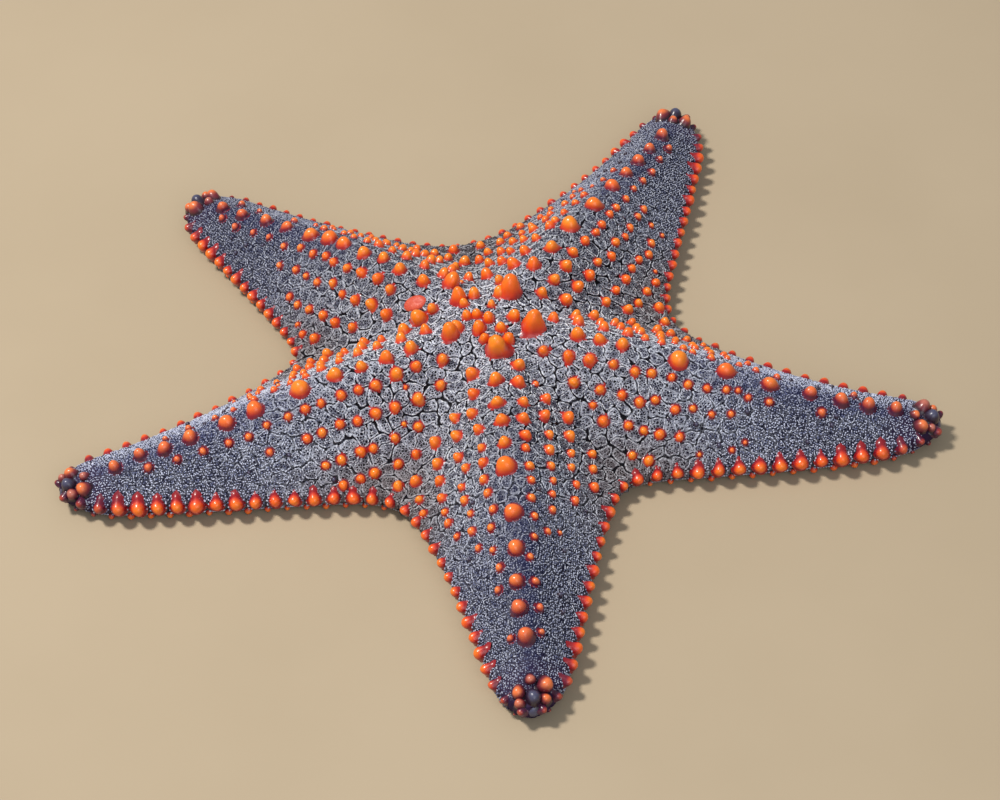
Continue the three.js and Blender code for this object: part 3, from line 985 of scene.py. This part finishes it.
def rim_granules():
    """Rows of granules round the rim, which leave its seams and the upper row's tubercles bare."""
    rows = []
    for number, (_, side, rim) in enumerate(RIMS):
        for row, middle in enumerate(np.linspace(*RIM_GRANULE_SHARES, RIM_GRANULE_ROWS)):
            length = np.arange(0.4 * (row % 2), rim.length[-1], RIM_GRANULE_PITCH)
            length = length + RNG.uniform(-0.12, 0.12)
            share = middle + RNG.uniform(-0.02, 0.02, len(length))
            x, y, out = rim.at(length)
            station, phase = rim.station(length), (length / rim.pitch) % 1
            normal = unit(np.column_stack([out, np.where(share < 0.5, 0.35, -0.25)]))
            centre = np.hypot((phase - 0.5) * rim.pitch, (share - RIM_KNOB_SHARE) * RIM_HEIGHT)
            seam = np.abs(share - PLATE_SEAM) < SEAM_BARE
            seam |= np.minimum(phase, 1 - phase) < PLATE_GAP_BARE
            keep = ~seam & (centre > RIM_KNOB_BARE) & (station < RIM_TIP_BARE)
            root = rim_point(x, y, out, share) - normal * RIM_GRANULE_SINK
            patch = (number // 2 + 0.5 + side * (0.08 + 0.3 * share)) / len(STAR)
            rows.append(np.column_stack([root, normal, station, shade_at(x, y), patch])[keep])
    root, normal, (station, shade, patch) = split_rows(rows)
    count = len(root)
    heading = RNG.normal(0, 1, (count, 3))
    values = dict(station=station, low=np.ones(count), tone=RNG.random(count), pale=np.zeros(count),
                  ridge=np.zeros(count), shade=shade)
    long, short, height = (RNG.uniform(*span, count) for span in RIM_GRANULE_SIZES)
    patches = np.stack([patch, station], -1)
    return beads("granules_rim", root, normal, heading, long, short, height, values, patches)


# ---- tubercles ----

KNOB_SINK = 0.25
SKIRT_SINK = 0.28
KNOB_WEB = ([0.25, 0.5], [1.3, 0.4])
KNOB_TAIL = (0.15, 0.6)
TAIL_SWAY = 0.12

# The upper side's three meshes: name, radius above and up to, sides, web and lumps.
KNOB_MESHES = [("primary", 2.9, 9.0, 32, 1.8, 0.035), ("large", 1.75, 2.9, 18, 1.0, 0.01),
               ("small", 0.0, 1.75, 14, 1.0, 0.01)]

# The rim's two rows: share of the way down, size, how far they lean up, and shift in plates.
RIM_ROWS = [(RIM_KNOB_SHARE, 1.0, 0.62, 0.0), (0.78, 0.55, -0.1, 0.5)]
RIM_RADIUS = ([0.3, 0.5, 0.88, 0.97], [1.75, 2.1, 2.35, 1.65])
RIM_TAIL_GROWTH = ([0.6, 0.92], [1.0, 1.9])
RIM_SIZE_SPREAD = (0.84, 1.08)
RIM_SCATTER = 0.2
RIM_SINK = 0.4
RIM_END = 2.5
LOW_RIM_TAIL = 0.3
UPHILL = np.array([0.0, 0.0, 1.0])
TALL = 1.5


def knob_values(station, rim=0.0):
    """The values that tubercles carry: station, a random tone, and 1 for those of the rim."""
    count = len(station)
    return dict(station=station, tone=RNG.random(count), rim=np.full(count, rim))


def on_skin(points):
    """Points let down or up to just under the granules of the upper surface."""
    x, y = points[..., 0], points[..., 1]
    return upper_point(x, y) - SKIRT_SINK * upper_normal(x, y)


def upper_tubercles():
    """The tubercles of the disc and arms, with their tails downhill."""
    x, y, radius, height, station = KNOBS.T
    normal = upper_normal(x, y)
    root = upper_point(x, y) - normal * KNOB_SINK
    downhill = normal * np.array([1, 1, 0]) + RNG.normal(0, TAIL_SWAY, root.shape)
    tail = RNG.uniform(*KNOB_TAIL, (len(root), 1))
    web = np.interp(station, *KNOB_WEB)[:, None]
    pieces = []
    for name, above, up_to, sides, reach, lumps in KNOB_MESHES:
        chosen = (radius > above) & (radius <= up_to)
        pieces.append(domes(
            f"tubercles_{name}", root[chosen], normal[chosen], downhill[chosen], radius[chosen],
            height[chosen], knob_values(station[chosen]), sides, reach * web[chosen], tail[chosen],
            on_skin, lumps))
    return pieces


def rim_tubercles():
    """Two rows round the rim, one tubercle to a plate, the upper row with tails up the arm's side."""
    rows = []
    for arm, side, rim in RIMS:
        own = (side + 1) // 2
        for share, size, lean, drop in RIM_ROWS:
            length = (np.arange(rim.plates) + 0.5 + drop) * rim.pitch
            length = length[length < rim.length[-1] - RIM_END] + RNG.normal(0, RIM_SCATTER)
            x, y, out = rim.at(length)
            even = np.ones(len(length))
            axis, station = unit(np.column_stack([out, lean * even])), rim.station(length)
            radius = size * arm.looks["rim_size"][own] * np.interp(station, *RIM_RADIUS)
            radius = radius * RNG.uniform(*RIM_SIZE_SPREAD, len(length))
            tail = arm.looks["rim_tail"][own] * np.interp(station, *RIM_TAIL_GROWTH)
            root = rim_point(x, y, out, share * even) - axis * RIM_SINK
            rows.append(np.column_stack([root, axis, radius, station, tail, drop * even]))
    root, axis, (radius, station, tail, drop) = split_rows(rows)
    values = knob_values(station, 1.0)
    tail = np.where(drop > 0, LOW_RIM_TAIL, RNG.uniform(*UNEVEN, len(root)) * tail)[:, None]
    return domes("tubercles_rim", root, axis, UPHILL, radius, radius * TALL, values, 16, 0.5, tail, point=9)


# Knobs on each arm's end: distance back from the tip, sideways, radius. The last and largest is
# blunt and stands where the arm ends.
TIP_SPOTS = [(2.7, 0.5, 2.1), (5.2, -3.6, 2.15), (6.1, 3.7, 2.3), (7.6, -0.2, 1.5), (2.2, -3.4, 1.5),
             (2.6, 3.8, 1.7)]
TIP_SIZE_SPREAD = (0.92, 1.08)
TIP_SCATTER = 0.25
TIP_SINK = 0.5
TIP_END = dict(back=3.4, height=4.6, rise=1.1, radius=3.0, tall=1.3)


def tip_tubercles():
    """The knobs on the arms' ends, the first and the last of each arm dark."""
    rows = []
    for arm in STAR:
        for back, aside, size in TIP_SPOTS:
            x, y = np.array(arm.beside(arm.tip - back + RNG.normal(0, TIP_SCATTER), aside))
            rows.append((upper_point(x, y), upper_normal(x, y), size * RNG.uniform(*TIP_SIZE_SPREAD)))
        inner, outer = (np.array(arm.beside(s, 0.0)) for s in (arm.tip - TIP_END["back"], arm.tip))
        way = unit(np.append(outer - inner, TIP_END["rise"]))
        rows.append((np.append(inner, TIP_END["height"]), way, TIP_END["radius"]))
    root, normal, radius = (np.array(column) for column in zip(*rows))
    order = np.arange(len(root)) % (len(TIP_SPOTS) + 1)
    last = order == len(TIP_SPOTS)
    root = root - normal * np.where(last, 0, TIP_SINK)[:, None]
    values = knob_values(np.ones(len(root)))
    values["tone"] = np.where(last | (order == 0), 0, np.maximum(values["tone"], 0.1))
    height = radius * np.where(last, TIP_END["tall"], TALL)
    return domes(
        "tubercles_tip", root, normal, root * np.array([-1, -1, 0]), radius, height, values, 18, 0.8, 0.4)


DARK_TRIES = 14
DARK_CLEARANCE = 1.5
DARK_STRETCH = (0.4, 0.8)
DARK_RADIUS = (0.55, 0.8)
DARK_EDGE_ROOM = 3.5


def dark_tubercles():
    """Very small plum tubercles, scattered over the flanks of each arm's middle stretch."""
    spots = []
    for arm in STAR:
        for _ in range(DARK_TRIES):
            along = RNG.uniform(*DARK_STRETCH) * arm.reach
            side = RNG.choice(SIDES)
            x, y = arm.beside(along, side * RNG.uniform(4, max(arm.room(side, along) - DARK_EDGE_ROOM, 5)))
            if np.min(np.hypot(KNOBS[:, 0] - x, KNOBS[:, 1] - y) - KNOBS[:, 2]) > DARK_CLEARANCE:
                spots.append((x, y, RNG.uniform(*DARK_RADIUS)))
    x, y, radius = np.array(spots).T
    normal = upper_normal(x, y)
    root, downhill = upper_point(x, y) - normal * KNOB_SINK, normal * np.array([1, 1, 0])
    values = knob_values(np.ones(len(root)))
    values["tone"] = np.zeros(len(root))
    return domes("tubercles_dark", root, normal, downhill, radius, radius * TALL, values, 12, 0.4, 0.5)


# ---- sieve plate ----

SIEVE_RINGS = 26
SIEVE_SIDES = 96
SIEVE_SINK = 0.3
SIEVE_GROOVES = 22
SIEVE_GROOVE_DEPTH = 0.05


def sieve_plate():
    """The madreporite: a low oval button with fine branching grooves."""
    share = np.linspace(0, 1, SIEVE_RINGS)[:, None]
    turn = full_turn(SIEVE_SIDES)[None]
    c, s = math.cos(SIEVE["heading"]), math.sin(SIEVE["heading"])
    lengthwise = SIEVE["length"] / 2 * share * np.cos(turn)
    sideways = SIEVE["width"] / 2 * share * np.sin(turn)
    x = SIEVE_MIDDLE[0] + c * lengthwise - s * sideways
    y = SIEVE_MIDDLE[1] + s * lengthwise + c * sideways
    dome = SIEVE["rise"] * np.sqrt(np.clip(1 - share**3, 0, 1)) + 0 * turn
    waves = np.sin(turn * SIEVE_GROOVES + 2.5 * np.sin(share * 9 + 2 * np.sin(3 * turn)))
    waves = waves * np.clip(3 * share, 0, 1)
    height = dome - SIEVE_SINK + SIEVE_GROOVE_DEPTH * waves * np.clip(4 * (1 - share), 0, 1)
    points = upper_point(x, y) + upper_normal(x, y) * height[..., None]
    index = np.arange(SIEVE_RINGS * SIEVE_SIDES).reshape(SIEVE_RINGS, SIEVE_SIDES)
    faces = grid_faces(np.concatenate([index, index[:, :1]], 1))[:, [0, 3, 2, 1]]
    values = dict(groove=(0.5 - 0.5 * waves).ravel(), rise=(1 - share + 0 * turn).ravel())
    return make_mesh("sieve_plate", points.reshape(-1, 3), [faces], values)


# ---- underside ----

FOOT_PITCH = 2.3
FOOT_START = 9.0
FOOT_ASIDE = 1.15
FOOT_ROOF = 2.9
FOOT_STATION = 0.3
FOOT_HEADING = np.array([1.0, 0.2, 0.0])
FEET = dict(radius=0.75, height=1.9)
SPINES = dict(radius=0.6, height=0.9)

# The two rows of spines: forward, out from the furrow's side, and the height of their roots.
SPINE_ROWS = [(0.6, 0.7, 1.2), (-0.5, 1.9, 1.0)]


def tube_feet():
    """Two rows of tube feet in each furrow, and rows of blunt spines along each of its sides."""
    feet, spines = [], []
    for arm in STAR:
        for along in np.arange(FOOT_START, arm.tip - FURROW_TIP_GAP, FOOT_PITCH):
            middle = float(arm.midline(along))
            for side in SIDES:
                feet.append((*arm.place(along, middle + side * FOOT_ASIDE), FOOT_ROOF))
                for forward, out, height in SPINE_ROWS:
                    aside = side * (FURROW_HALF_WIDTH + out)
                    spines.append((*arm.place(along + forward, middle + aside), height))
    pieces = []
    for name, spots, size in (("tube_feet", feet, FEET), ("oral_spines", spines, SPINES)):
        root, even = np.array(spots), np.ones(len(spots))
        down = np.broadcast_to(-UPHILL, root.shape)
        values = knob_values(FOOT_STATION * even)
        pieces.append(domes(
            name, root, down, FOOT_HEADING, size["radius"] * even, size["height"] * even, values, 6, 0, 0))
    return pieces


# ---- materials ----


def colour(red, green, blue):
    """A display colour of 0 to 255 as the linear colour that shaders take."""
    linear = [((v / 255 + 0.055) / 1.055) ** 2.4 if v > 10 else v / 255 / 12.92 for v in (red, green, blue)]
    return (*linear, 1.0)


SLATE = colour(13, 12, 20)
INK = colour(7, 6, 13)
BARK = colour(34, 28, 26)
PLUM = colour(46, 30, 60)
WEB_RED = colour(128, 26, 34)
NET = colour(104, 106, 122)
PEARL = colour(182, 186, 200)
LAVENDER = colour(26, 27, 44)
CHALK = colour(238, 242, 250)
STEEL = colour(170, 182, 232)
DUSK = colour(60, 66, 118)
AZURE = colour(22, 28, 70)
NAVY = colour(11, 12, 38)
EARTH = colour(112, 98, 92)
ORANGE = colour(255, 112, 12)
AMBER = colour(255, 138, 24)
VERMILION = colour(214, 52, 30)
CRIMSON = colour(146, 16, 26)
WINE = colour(74, 20, 52)
MAROON = colour(138, 36, 44)
SALMON = colour(236, 118, 70)
TIP_FOOT = colour(38, 14, 32)
TIP_SIDES = (colour(44, 32, 54), colour(116, 36, 48))
# Tip knob crowns: slate (lighter than the dark knobs' sides, partly a painted highlight), dull orange and
# rose.
TIP_CROWNS = (colour(74, 74, 100), colour(236, 120, 62), colour(170, 104, 98))
SIEVE_TONES = (colour(214, 82, 54), colour(158, 52, 44), colour(226, 112, 78))
FOOT_TONES = (colour(150, 70, 60), colour(226, 176, 140))
SPINE_TONES = (colour(150, 60, 40), colour(236, 150, 90))
SAND_TONES = (colour(178, 161, 136), colour(174, 157, 132))

# Sockets of a Mix node that takes colours.
MIX_FIRST, MIX_SECOND, MIX_RESULT = 6, 7, 2

# Lengths in a material are in metres, and the scale of a noise is per metre.
BUMP_HEIGHT = 0.0003
SCATTER_RADIUS = (0.002, 0.0008, 0.0004)
SCATTER_SCALE = 0.6


class Look:
    """A material's node tree, with one short method for each kind of node."""

    def __init__(self, name):
        self.material = bpy.data.materials.new(name)
        self.material.use_nodes = True
        self.tree = self.material.node_tree
        self.shader = self.tree.nodes["Principled BSDF"]
        self.place = self.new("TexCoord").outputs["Object"]

    def new(self, kind):
        return self.tree.nodes.new("ShaderNode" + kind)

    def feed(self, node, inputs):
        """Give a node's inputs constants or other nodes' outputs, and return its own outputs."""
        for key, value in inputs.items():
            if isinstance(value, bpy.types.NodeSocket):
                self.tree.links.new(value, node.inputs[key])
            else:
                node.inputs[key].default_value = value
        return node.outputs

    def values(self, *names):
        """The values of these names that the mesh carries."""
        outputs = []
        for name in names:
            node = self.new("Attribute")
            node.attribute_name = name
            outputs.append(node.outputs["Fac"])
        return outputs

    def noise(self, scale, detail=2.0):
        node = self.new("TexNoise")
        return self.feed(node, {"Vector": self.place, "Scale": scale, "Detail": detail})["Fac"]

    def walls(self, scale):
        """Distance to the walls between random cells, in shares of a cell."""
        node = self.new("TexVoronoi")
        node.feature = "DISTANCE_TO_EDGE"
        return self.feed(node, {"Vector": self.place, "Scale": scale})["Distance"]

    def span(self, value, low, high, start=0.0, end=1.0):
        """The value carried smoothly from low and high to start and end."""
        node = self.new("MapRange")
        node.interpolation_type = "SMOOTHSTEP"
        places = {"Value": value, "From Min": low, "From Max": high, "To Min": start, "To Max": end}
        return self.feed(node, places)["Result"]

    def math(self, kind, first, second):
        node = self.new("Math")
        node.operation = kind
        return self.feed(node, {0: first, 1: second})["Value"]

    def times(self, first, second):
        return self.math("MULTIPLY", first, second)

    def minus(self, first, second):
        return self.math("SUBTRACT", first, second)

    def uneven(self, value, size):
        """The value with noise on it, so that the borders between colours waver."""
        return self.math("ADD", value, self.times(self.minus(self.noise(420), 0.5), size))

    def mix(self, share, first, second):
        node = self.new("Mix")
        node.data_type = "RGBA"
        return self.feed(node, {"Factor": share, MIX_FIRST: first, MIX_SECOND: second})[MIX_RESULT]

    def cover(self, base, *coats):
        """The base under coats of other colours, each given as its share and its colour."""
        for share, shade in coats:
            base = self.mix(share, base, shade)
        return base

    def bump(self, height, strength):
        node = self.new("Bump")
        normal = self.feed(node, {"Height": height, "Strength": strength, "Distance": BUMP_HEIGHT})
        self.feed(self.shader, {"Normal": normal["Normal"]})

    def finish(self, base, roughness, specular=0.5, coat=0.0, coat_roughness=0.1, subsurface=0.0):
        self.feed(self.shader, {
            "Base Color": base, "Roughness": roughness, "Specular IOR Level": specular,
            "Coat Weight": coat, "Coat Roughness": coat_roughness, "Subsurface Weight": subsurface,
            "Subsurface Radius": SCATTER_RADIUS, "Subsurface Scale": SCATTER_SCALE})
        return self.material


def skin_look():
    """Dark skin with a pale net round its pores, and pads outlined in pale lines."""
    look = Look("skin")
    station, low, border, near, ridge, shade = look.values(
        "station", "low", "border", "near", "ridge", "shade")
    earthy = look.times(low, look.span(station, 0.35, 0.65, 1, 0.2))
    blue = look.times(ridge, look.span(station, 0.2, 0.6, 0, 0.5))
    marked = look.span(station, 0.35, 0.72, 1.0, 0.12)
    fine = look.times(look.span(station, 0.4, 0.7, 1.0, 0.25), look.minus(1.0, blue))
    net = look.times(look.span(look.walls(1300), 0.06, 0.17, 1, 0), fine)
    outline = look.times(look.span(border, 0.18, 0.3), look.span(border, 0.52, 0.74, 1, 0))
    line = look.cover(
        NET,
        (look.span(look.noise(500), 0.35, 0.65), PEARL),
        (look.span(earthy, 0.0, 1.0, 0, 0.65), EARTH),
        # partly painted shade: on the darker arms the pale lines turn navy
        (shade, NAVY))
    base = look.cover(
        SLATE,
        (look.span(look.noise(90, 3), 0.35, 0.65), INK),
        (look.span(station, 0.3, 0.6, 0, 0.95), NAVY),
        (blue, AZURE),
        (look.span(earthy, 0.0, 1.0, 0, 0.8), BARK),
        (net, line),
        (look.times(outline, look.times(marked, 0.9)), line),
        (look.times(look.span(border, 0.12, 0.27, 1, 0), marked), INK),
        (look.span(near, 0.9, 0.1, 0, 0.9), WEB_RED),
        (look.span(station, 0.86, 0.97), PLUM))
    look.bump(look.noise(1500, 3), 0.25)
    return look.finish(base, look.span(look.noise(700), 0.3, 0.7, 0.5, 0.75), specular=0.1)


def granule_look():
    """Pale and dark beads, bluer on the arms, earthy low on the disc, plum at the tips, and darker on the
    far arms, partly as painted shade.
    """
    look = Look("granules")
    station, low, tone, pale, ridge, shade = look.values(
        "station", "low", "tone", "pale", "ridge", "shade")
    earthy = look.times(low, look.span(station, 0.35, 0.65, 1, 0.2))
    speckle = look.math("ADD", look.noise(900, 1), look.times(tone, 0.24))
    base = look.cover(
        LAVENDER,
        (look.span(speckle, 0.48, 0.64), CHALK),
        (look.span(station, 0.3, 0.6, 0, 0.45), STEEL),
        (look.span(look.noise(55, 3), 0.45, 0.75, 0, 0.3), DUSK),
        (look.times(ridge, look.span(station, 0.2, 0.6, 0, 0.45)), DUSK),
        (look.span(earthy, 0.0, 1.0, 0, 0.65), EARTH),
        # partly painted shade: on the darker arms the beads turn navy
        (shade, NAVY),
        (look.times(pale, 0.3), CHALK),
        (look.span(station, 0.93, 0.985, 0, 0.85), PLUM))
    return look.finish(base, look.span(tone, 0, 1, 0.3, 0.46), specular=0.3)


def tubercle_look():
    """Orange crowns over red feet; towards the tips the red turns to maroon and climbs higher."""
    look = Look("tubercle")
    station, rise, tone, rim = look.values("station", "rise", "tone", "rim")
    outer = look.times(look.span(station, 0.35, 0.85), look.minus(1.0, rim))
    outer = look.math("MAXIMUM", outer, look.span(station, 0.86, 0.98))
    cap = look.cover(ORANGE, (look.span(tone, 0, 1), AMBER), (look.times(outer, 0.75), SALMON))
    body = look.mix(look.times(outer, 0.9), VERMILION, MAROON)
    foot = look.mix(outer, CRIMSON, WINE)
    place = look.minus(look.uneven(rise, 0.25), look.times(outer, 0.3))
    place = look.minus(place, look.times(rim, 0.42))
    base = look.cover(foot, (look.span(place, -0.1, 0.3), body), (look.span(place, 0.05, 0.8), cap))
    look.bump(look.noise(1600), 0.12)
    return look.finish(base, 0.34, coat=0.3, coat_roughness=0.12, subsurface=0.12)


def tip_look():
    """Plum knobs, maroon further up, with dull orange crowns; the dark ones have slate crowns, lighter than
    their plum sides, which is partly a painted highlight.
    """
    look = Look("tip_tubercle")
    rise, tone = look.values("rise", "tone")
    bright = look.span(tone, 0.02, 0.06)
    place = look.uneven(rise, 0.3)
    slate, orange, rose = TIP_CROWNS
    # partly painted highlight: the slate crown of the dark knobs is lighter than their sides
    crown = look.cover(slate, (bright, orange), (look.span(tone, 0.45, 0.8, 0, 0.75), rose))
    side = look.mix(bright, *TIP_SIDES)
    base = look.cover(TIP_FOOT, (look.span(place, 0.15, 0.6), side), (look.span(place, 0.55, 1.0), crown))
    look.bump(look.noise(1600), 0.12)
    return look.finish(base, 0.36, coat=0.25, coat_roughness=0.15, subsurface=0.05)


def sieve_look():
    """Coral with brick-red grooves and lighter patches."""
    look = Look("sieve_plate")
    coral, brick, light = SIEVE_TONES
    groove, = look.values("groove")
    base = look.cover(
        coral, (look.times(groove, 0.5), brick), (look.span(look.noise(300), 0.4, 0.7, 0, 0.4), light))
    look.bump(look.noise(1500), 0.2)
    return look.finish(base, 0.45, coat=0.15, coat_roughness=0.3, subsurface=0.1)


def oral_look(name, low, high):
    """Tube feet or spines, from one colour at the root to the other at the end."""
    look = Look(name)
    rise, = look.values("rise")
    base = look.cover(
        low, (look.span(rise, 0.0, 0.9), high), (look.span(look.noise(300), 0.4, 0.7, 0, 0.3), low))
    look.bump(look.noise(1500), 0.2)
    return look.finish(base, 0.4, coat=0.2, coat_roughness=0.2, subsurface=0.1)


# ---- the stage ----

FLOOR_HALF = 1500

# The lights' places and sizes are in metres, and their power in watts.
LIGHTS = [
    dict(name="key", place=(-0.72, 0.12, 1.4), size=0.26, power=24.3, shade=(1.0, 0.96, 0.9)),
    dict(name="fill", place=(0.3, -1.1, 0.9), size=1.2, power=6.0, shade=(0.92, 0.96, 1.0)),
]
SKY = (0.86, 0.92, 1.0, 1.0)
SKY_STRENGTH = 0.34


def build_stage():
    """The plain pale floor."""
    corners = [(x * FLOOR_HALF, y * FLOOR_HALF, 0) for x, y in ((-1, -1), (1, -1), (1, 1), (-1, 1))]
    floor = make_mesh("floor", corners, [np.array([[0, 1, 2, 3]])])
    look = Look("floor")
    base = look.mix(look.span(look.noise(9, 4), 0.3, 0.7), *SAND_TONES)
    floor.data.materials.append(look.finish(base, 0.85, specular=0.2))


def add_light(name, place, size, power, shade):
    """A round area light, aimed at the origin."""
    light = bpy.data.lights.new(name, "AREA")
    light.shape = "DISK"
    light.size = size
    light.energy = power
    light.color = shade
    lamp = bpy.data.objects.new(name, light)
    lamp.location = place
    lamp.rotation_euler = (-Vector(place)).to_track_quat("-Z", "Y").to_euler()
    bpy.context.scene.collection.objects.link(lamp)


def build_lights():
    for light in LIGHTS:
        add_light(**light)
    sky = bpy.data.worlds.new("studio")
    sky.use_nodes = True
    background = sky.node_tree.nodes["Background"].inputs
    background["Color"].default_value = SKY
    background["Strength"].default_value = SKY_STRENGTH
    bpy.context.scene.world = sky
    bpy.context.scene.view_settings.view_transform = "Standard"


def build_camera():
    """The camera aims at its target from the front and above, with a slight roll."""
    right = np.array([1.0, 0.0, 0.0])
    forward = np.array([0.0, math.cos(CAMERA_ELEVATION), -math.sin(CAMERA_ELEVATION)])
    up = np.cross(right, forward)
    c, s = math.cos(CAMERA_ROLL), math.sin(CAMERA_ROLL)
    columns = np.stack([c * right - s * up, s * right + c * up, -forward], 1)
    place = world(CAMERA_TARGET - forward * CAMERA_DISTANCE)
    data = bpy.data.cameras.new("camera")
    data.sensor_width = SENSOR
    data.lens = FOCAL_PIXELS * SENSOR / IMAGE_WIDTH
    data.clip_end = CLIP_END
    camera = bpy.data.objects.new("camera", data)
    camera.matrix_world = Matrix([[*columns[k], place[k]] for k in range(3)] + [[0, 0, 0, 1]])
    bpy.context.scene.collection.objects.link(camera)
    bpy.context.scene.camera = camera


# ---- the whole ----

build_stage()
build_lights()
build_camera()

skin = finish_piece(build_skin(), skin_look())
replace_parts(skin, "disc", *[f"arm_{arm.name}" for arm in STAR], *[f"tip_{arm.name}" for arm in STAR])

granules = granule_look()
for arm in STAR:
    for piece in upper_granules(arm):
        finish_piece(piece, granules)
finish_piece(rim_granules(), granules)

tubercle = tubercle_look()
for piece in upper_tubercles():
    finish_piece(piece, tubercle)
finish_piece(rim_tubercles(), tubercle)
tip = tip_look()
finish_piece(tip_tubercles(), tip)

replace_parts(finish_piece(sieve_plate(), sieve_look()), "madreporite")

feet, spines = tube_feet()
finish_piece(feet, oral_look("tube_feet", *FOOT_TONES))
finish_piece(spines, oral_look("oral_spines", *SPINE_TONES))
finish_piece(dark_tubercles(), tip)
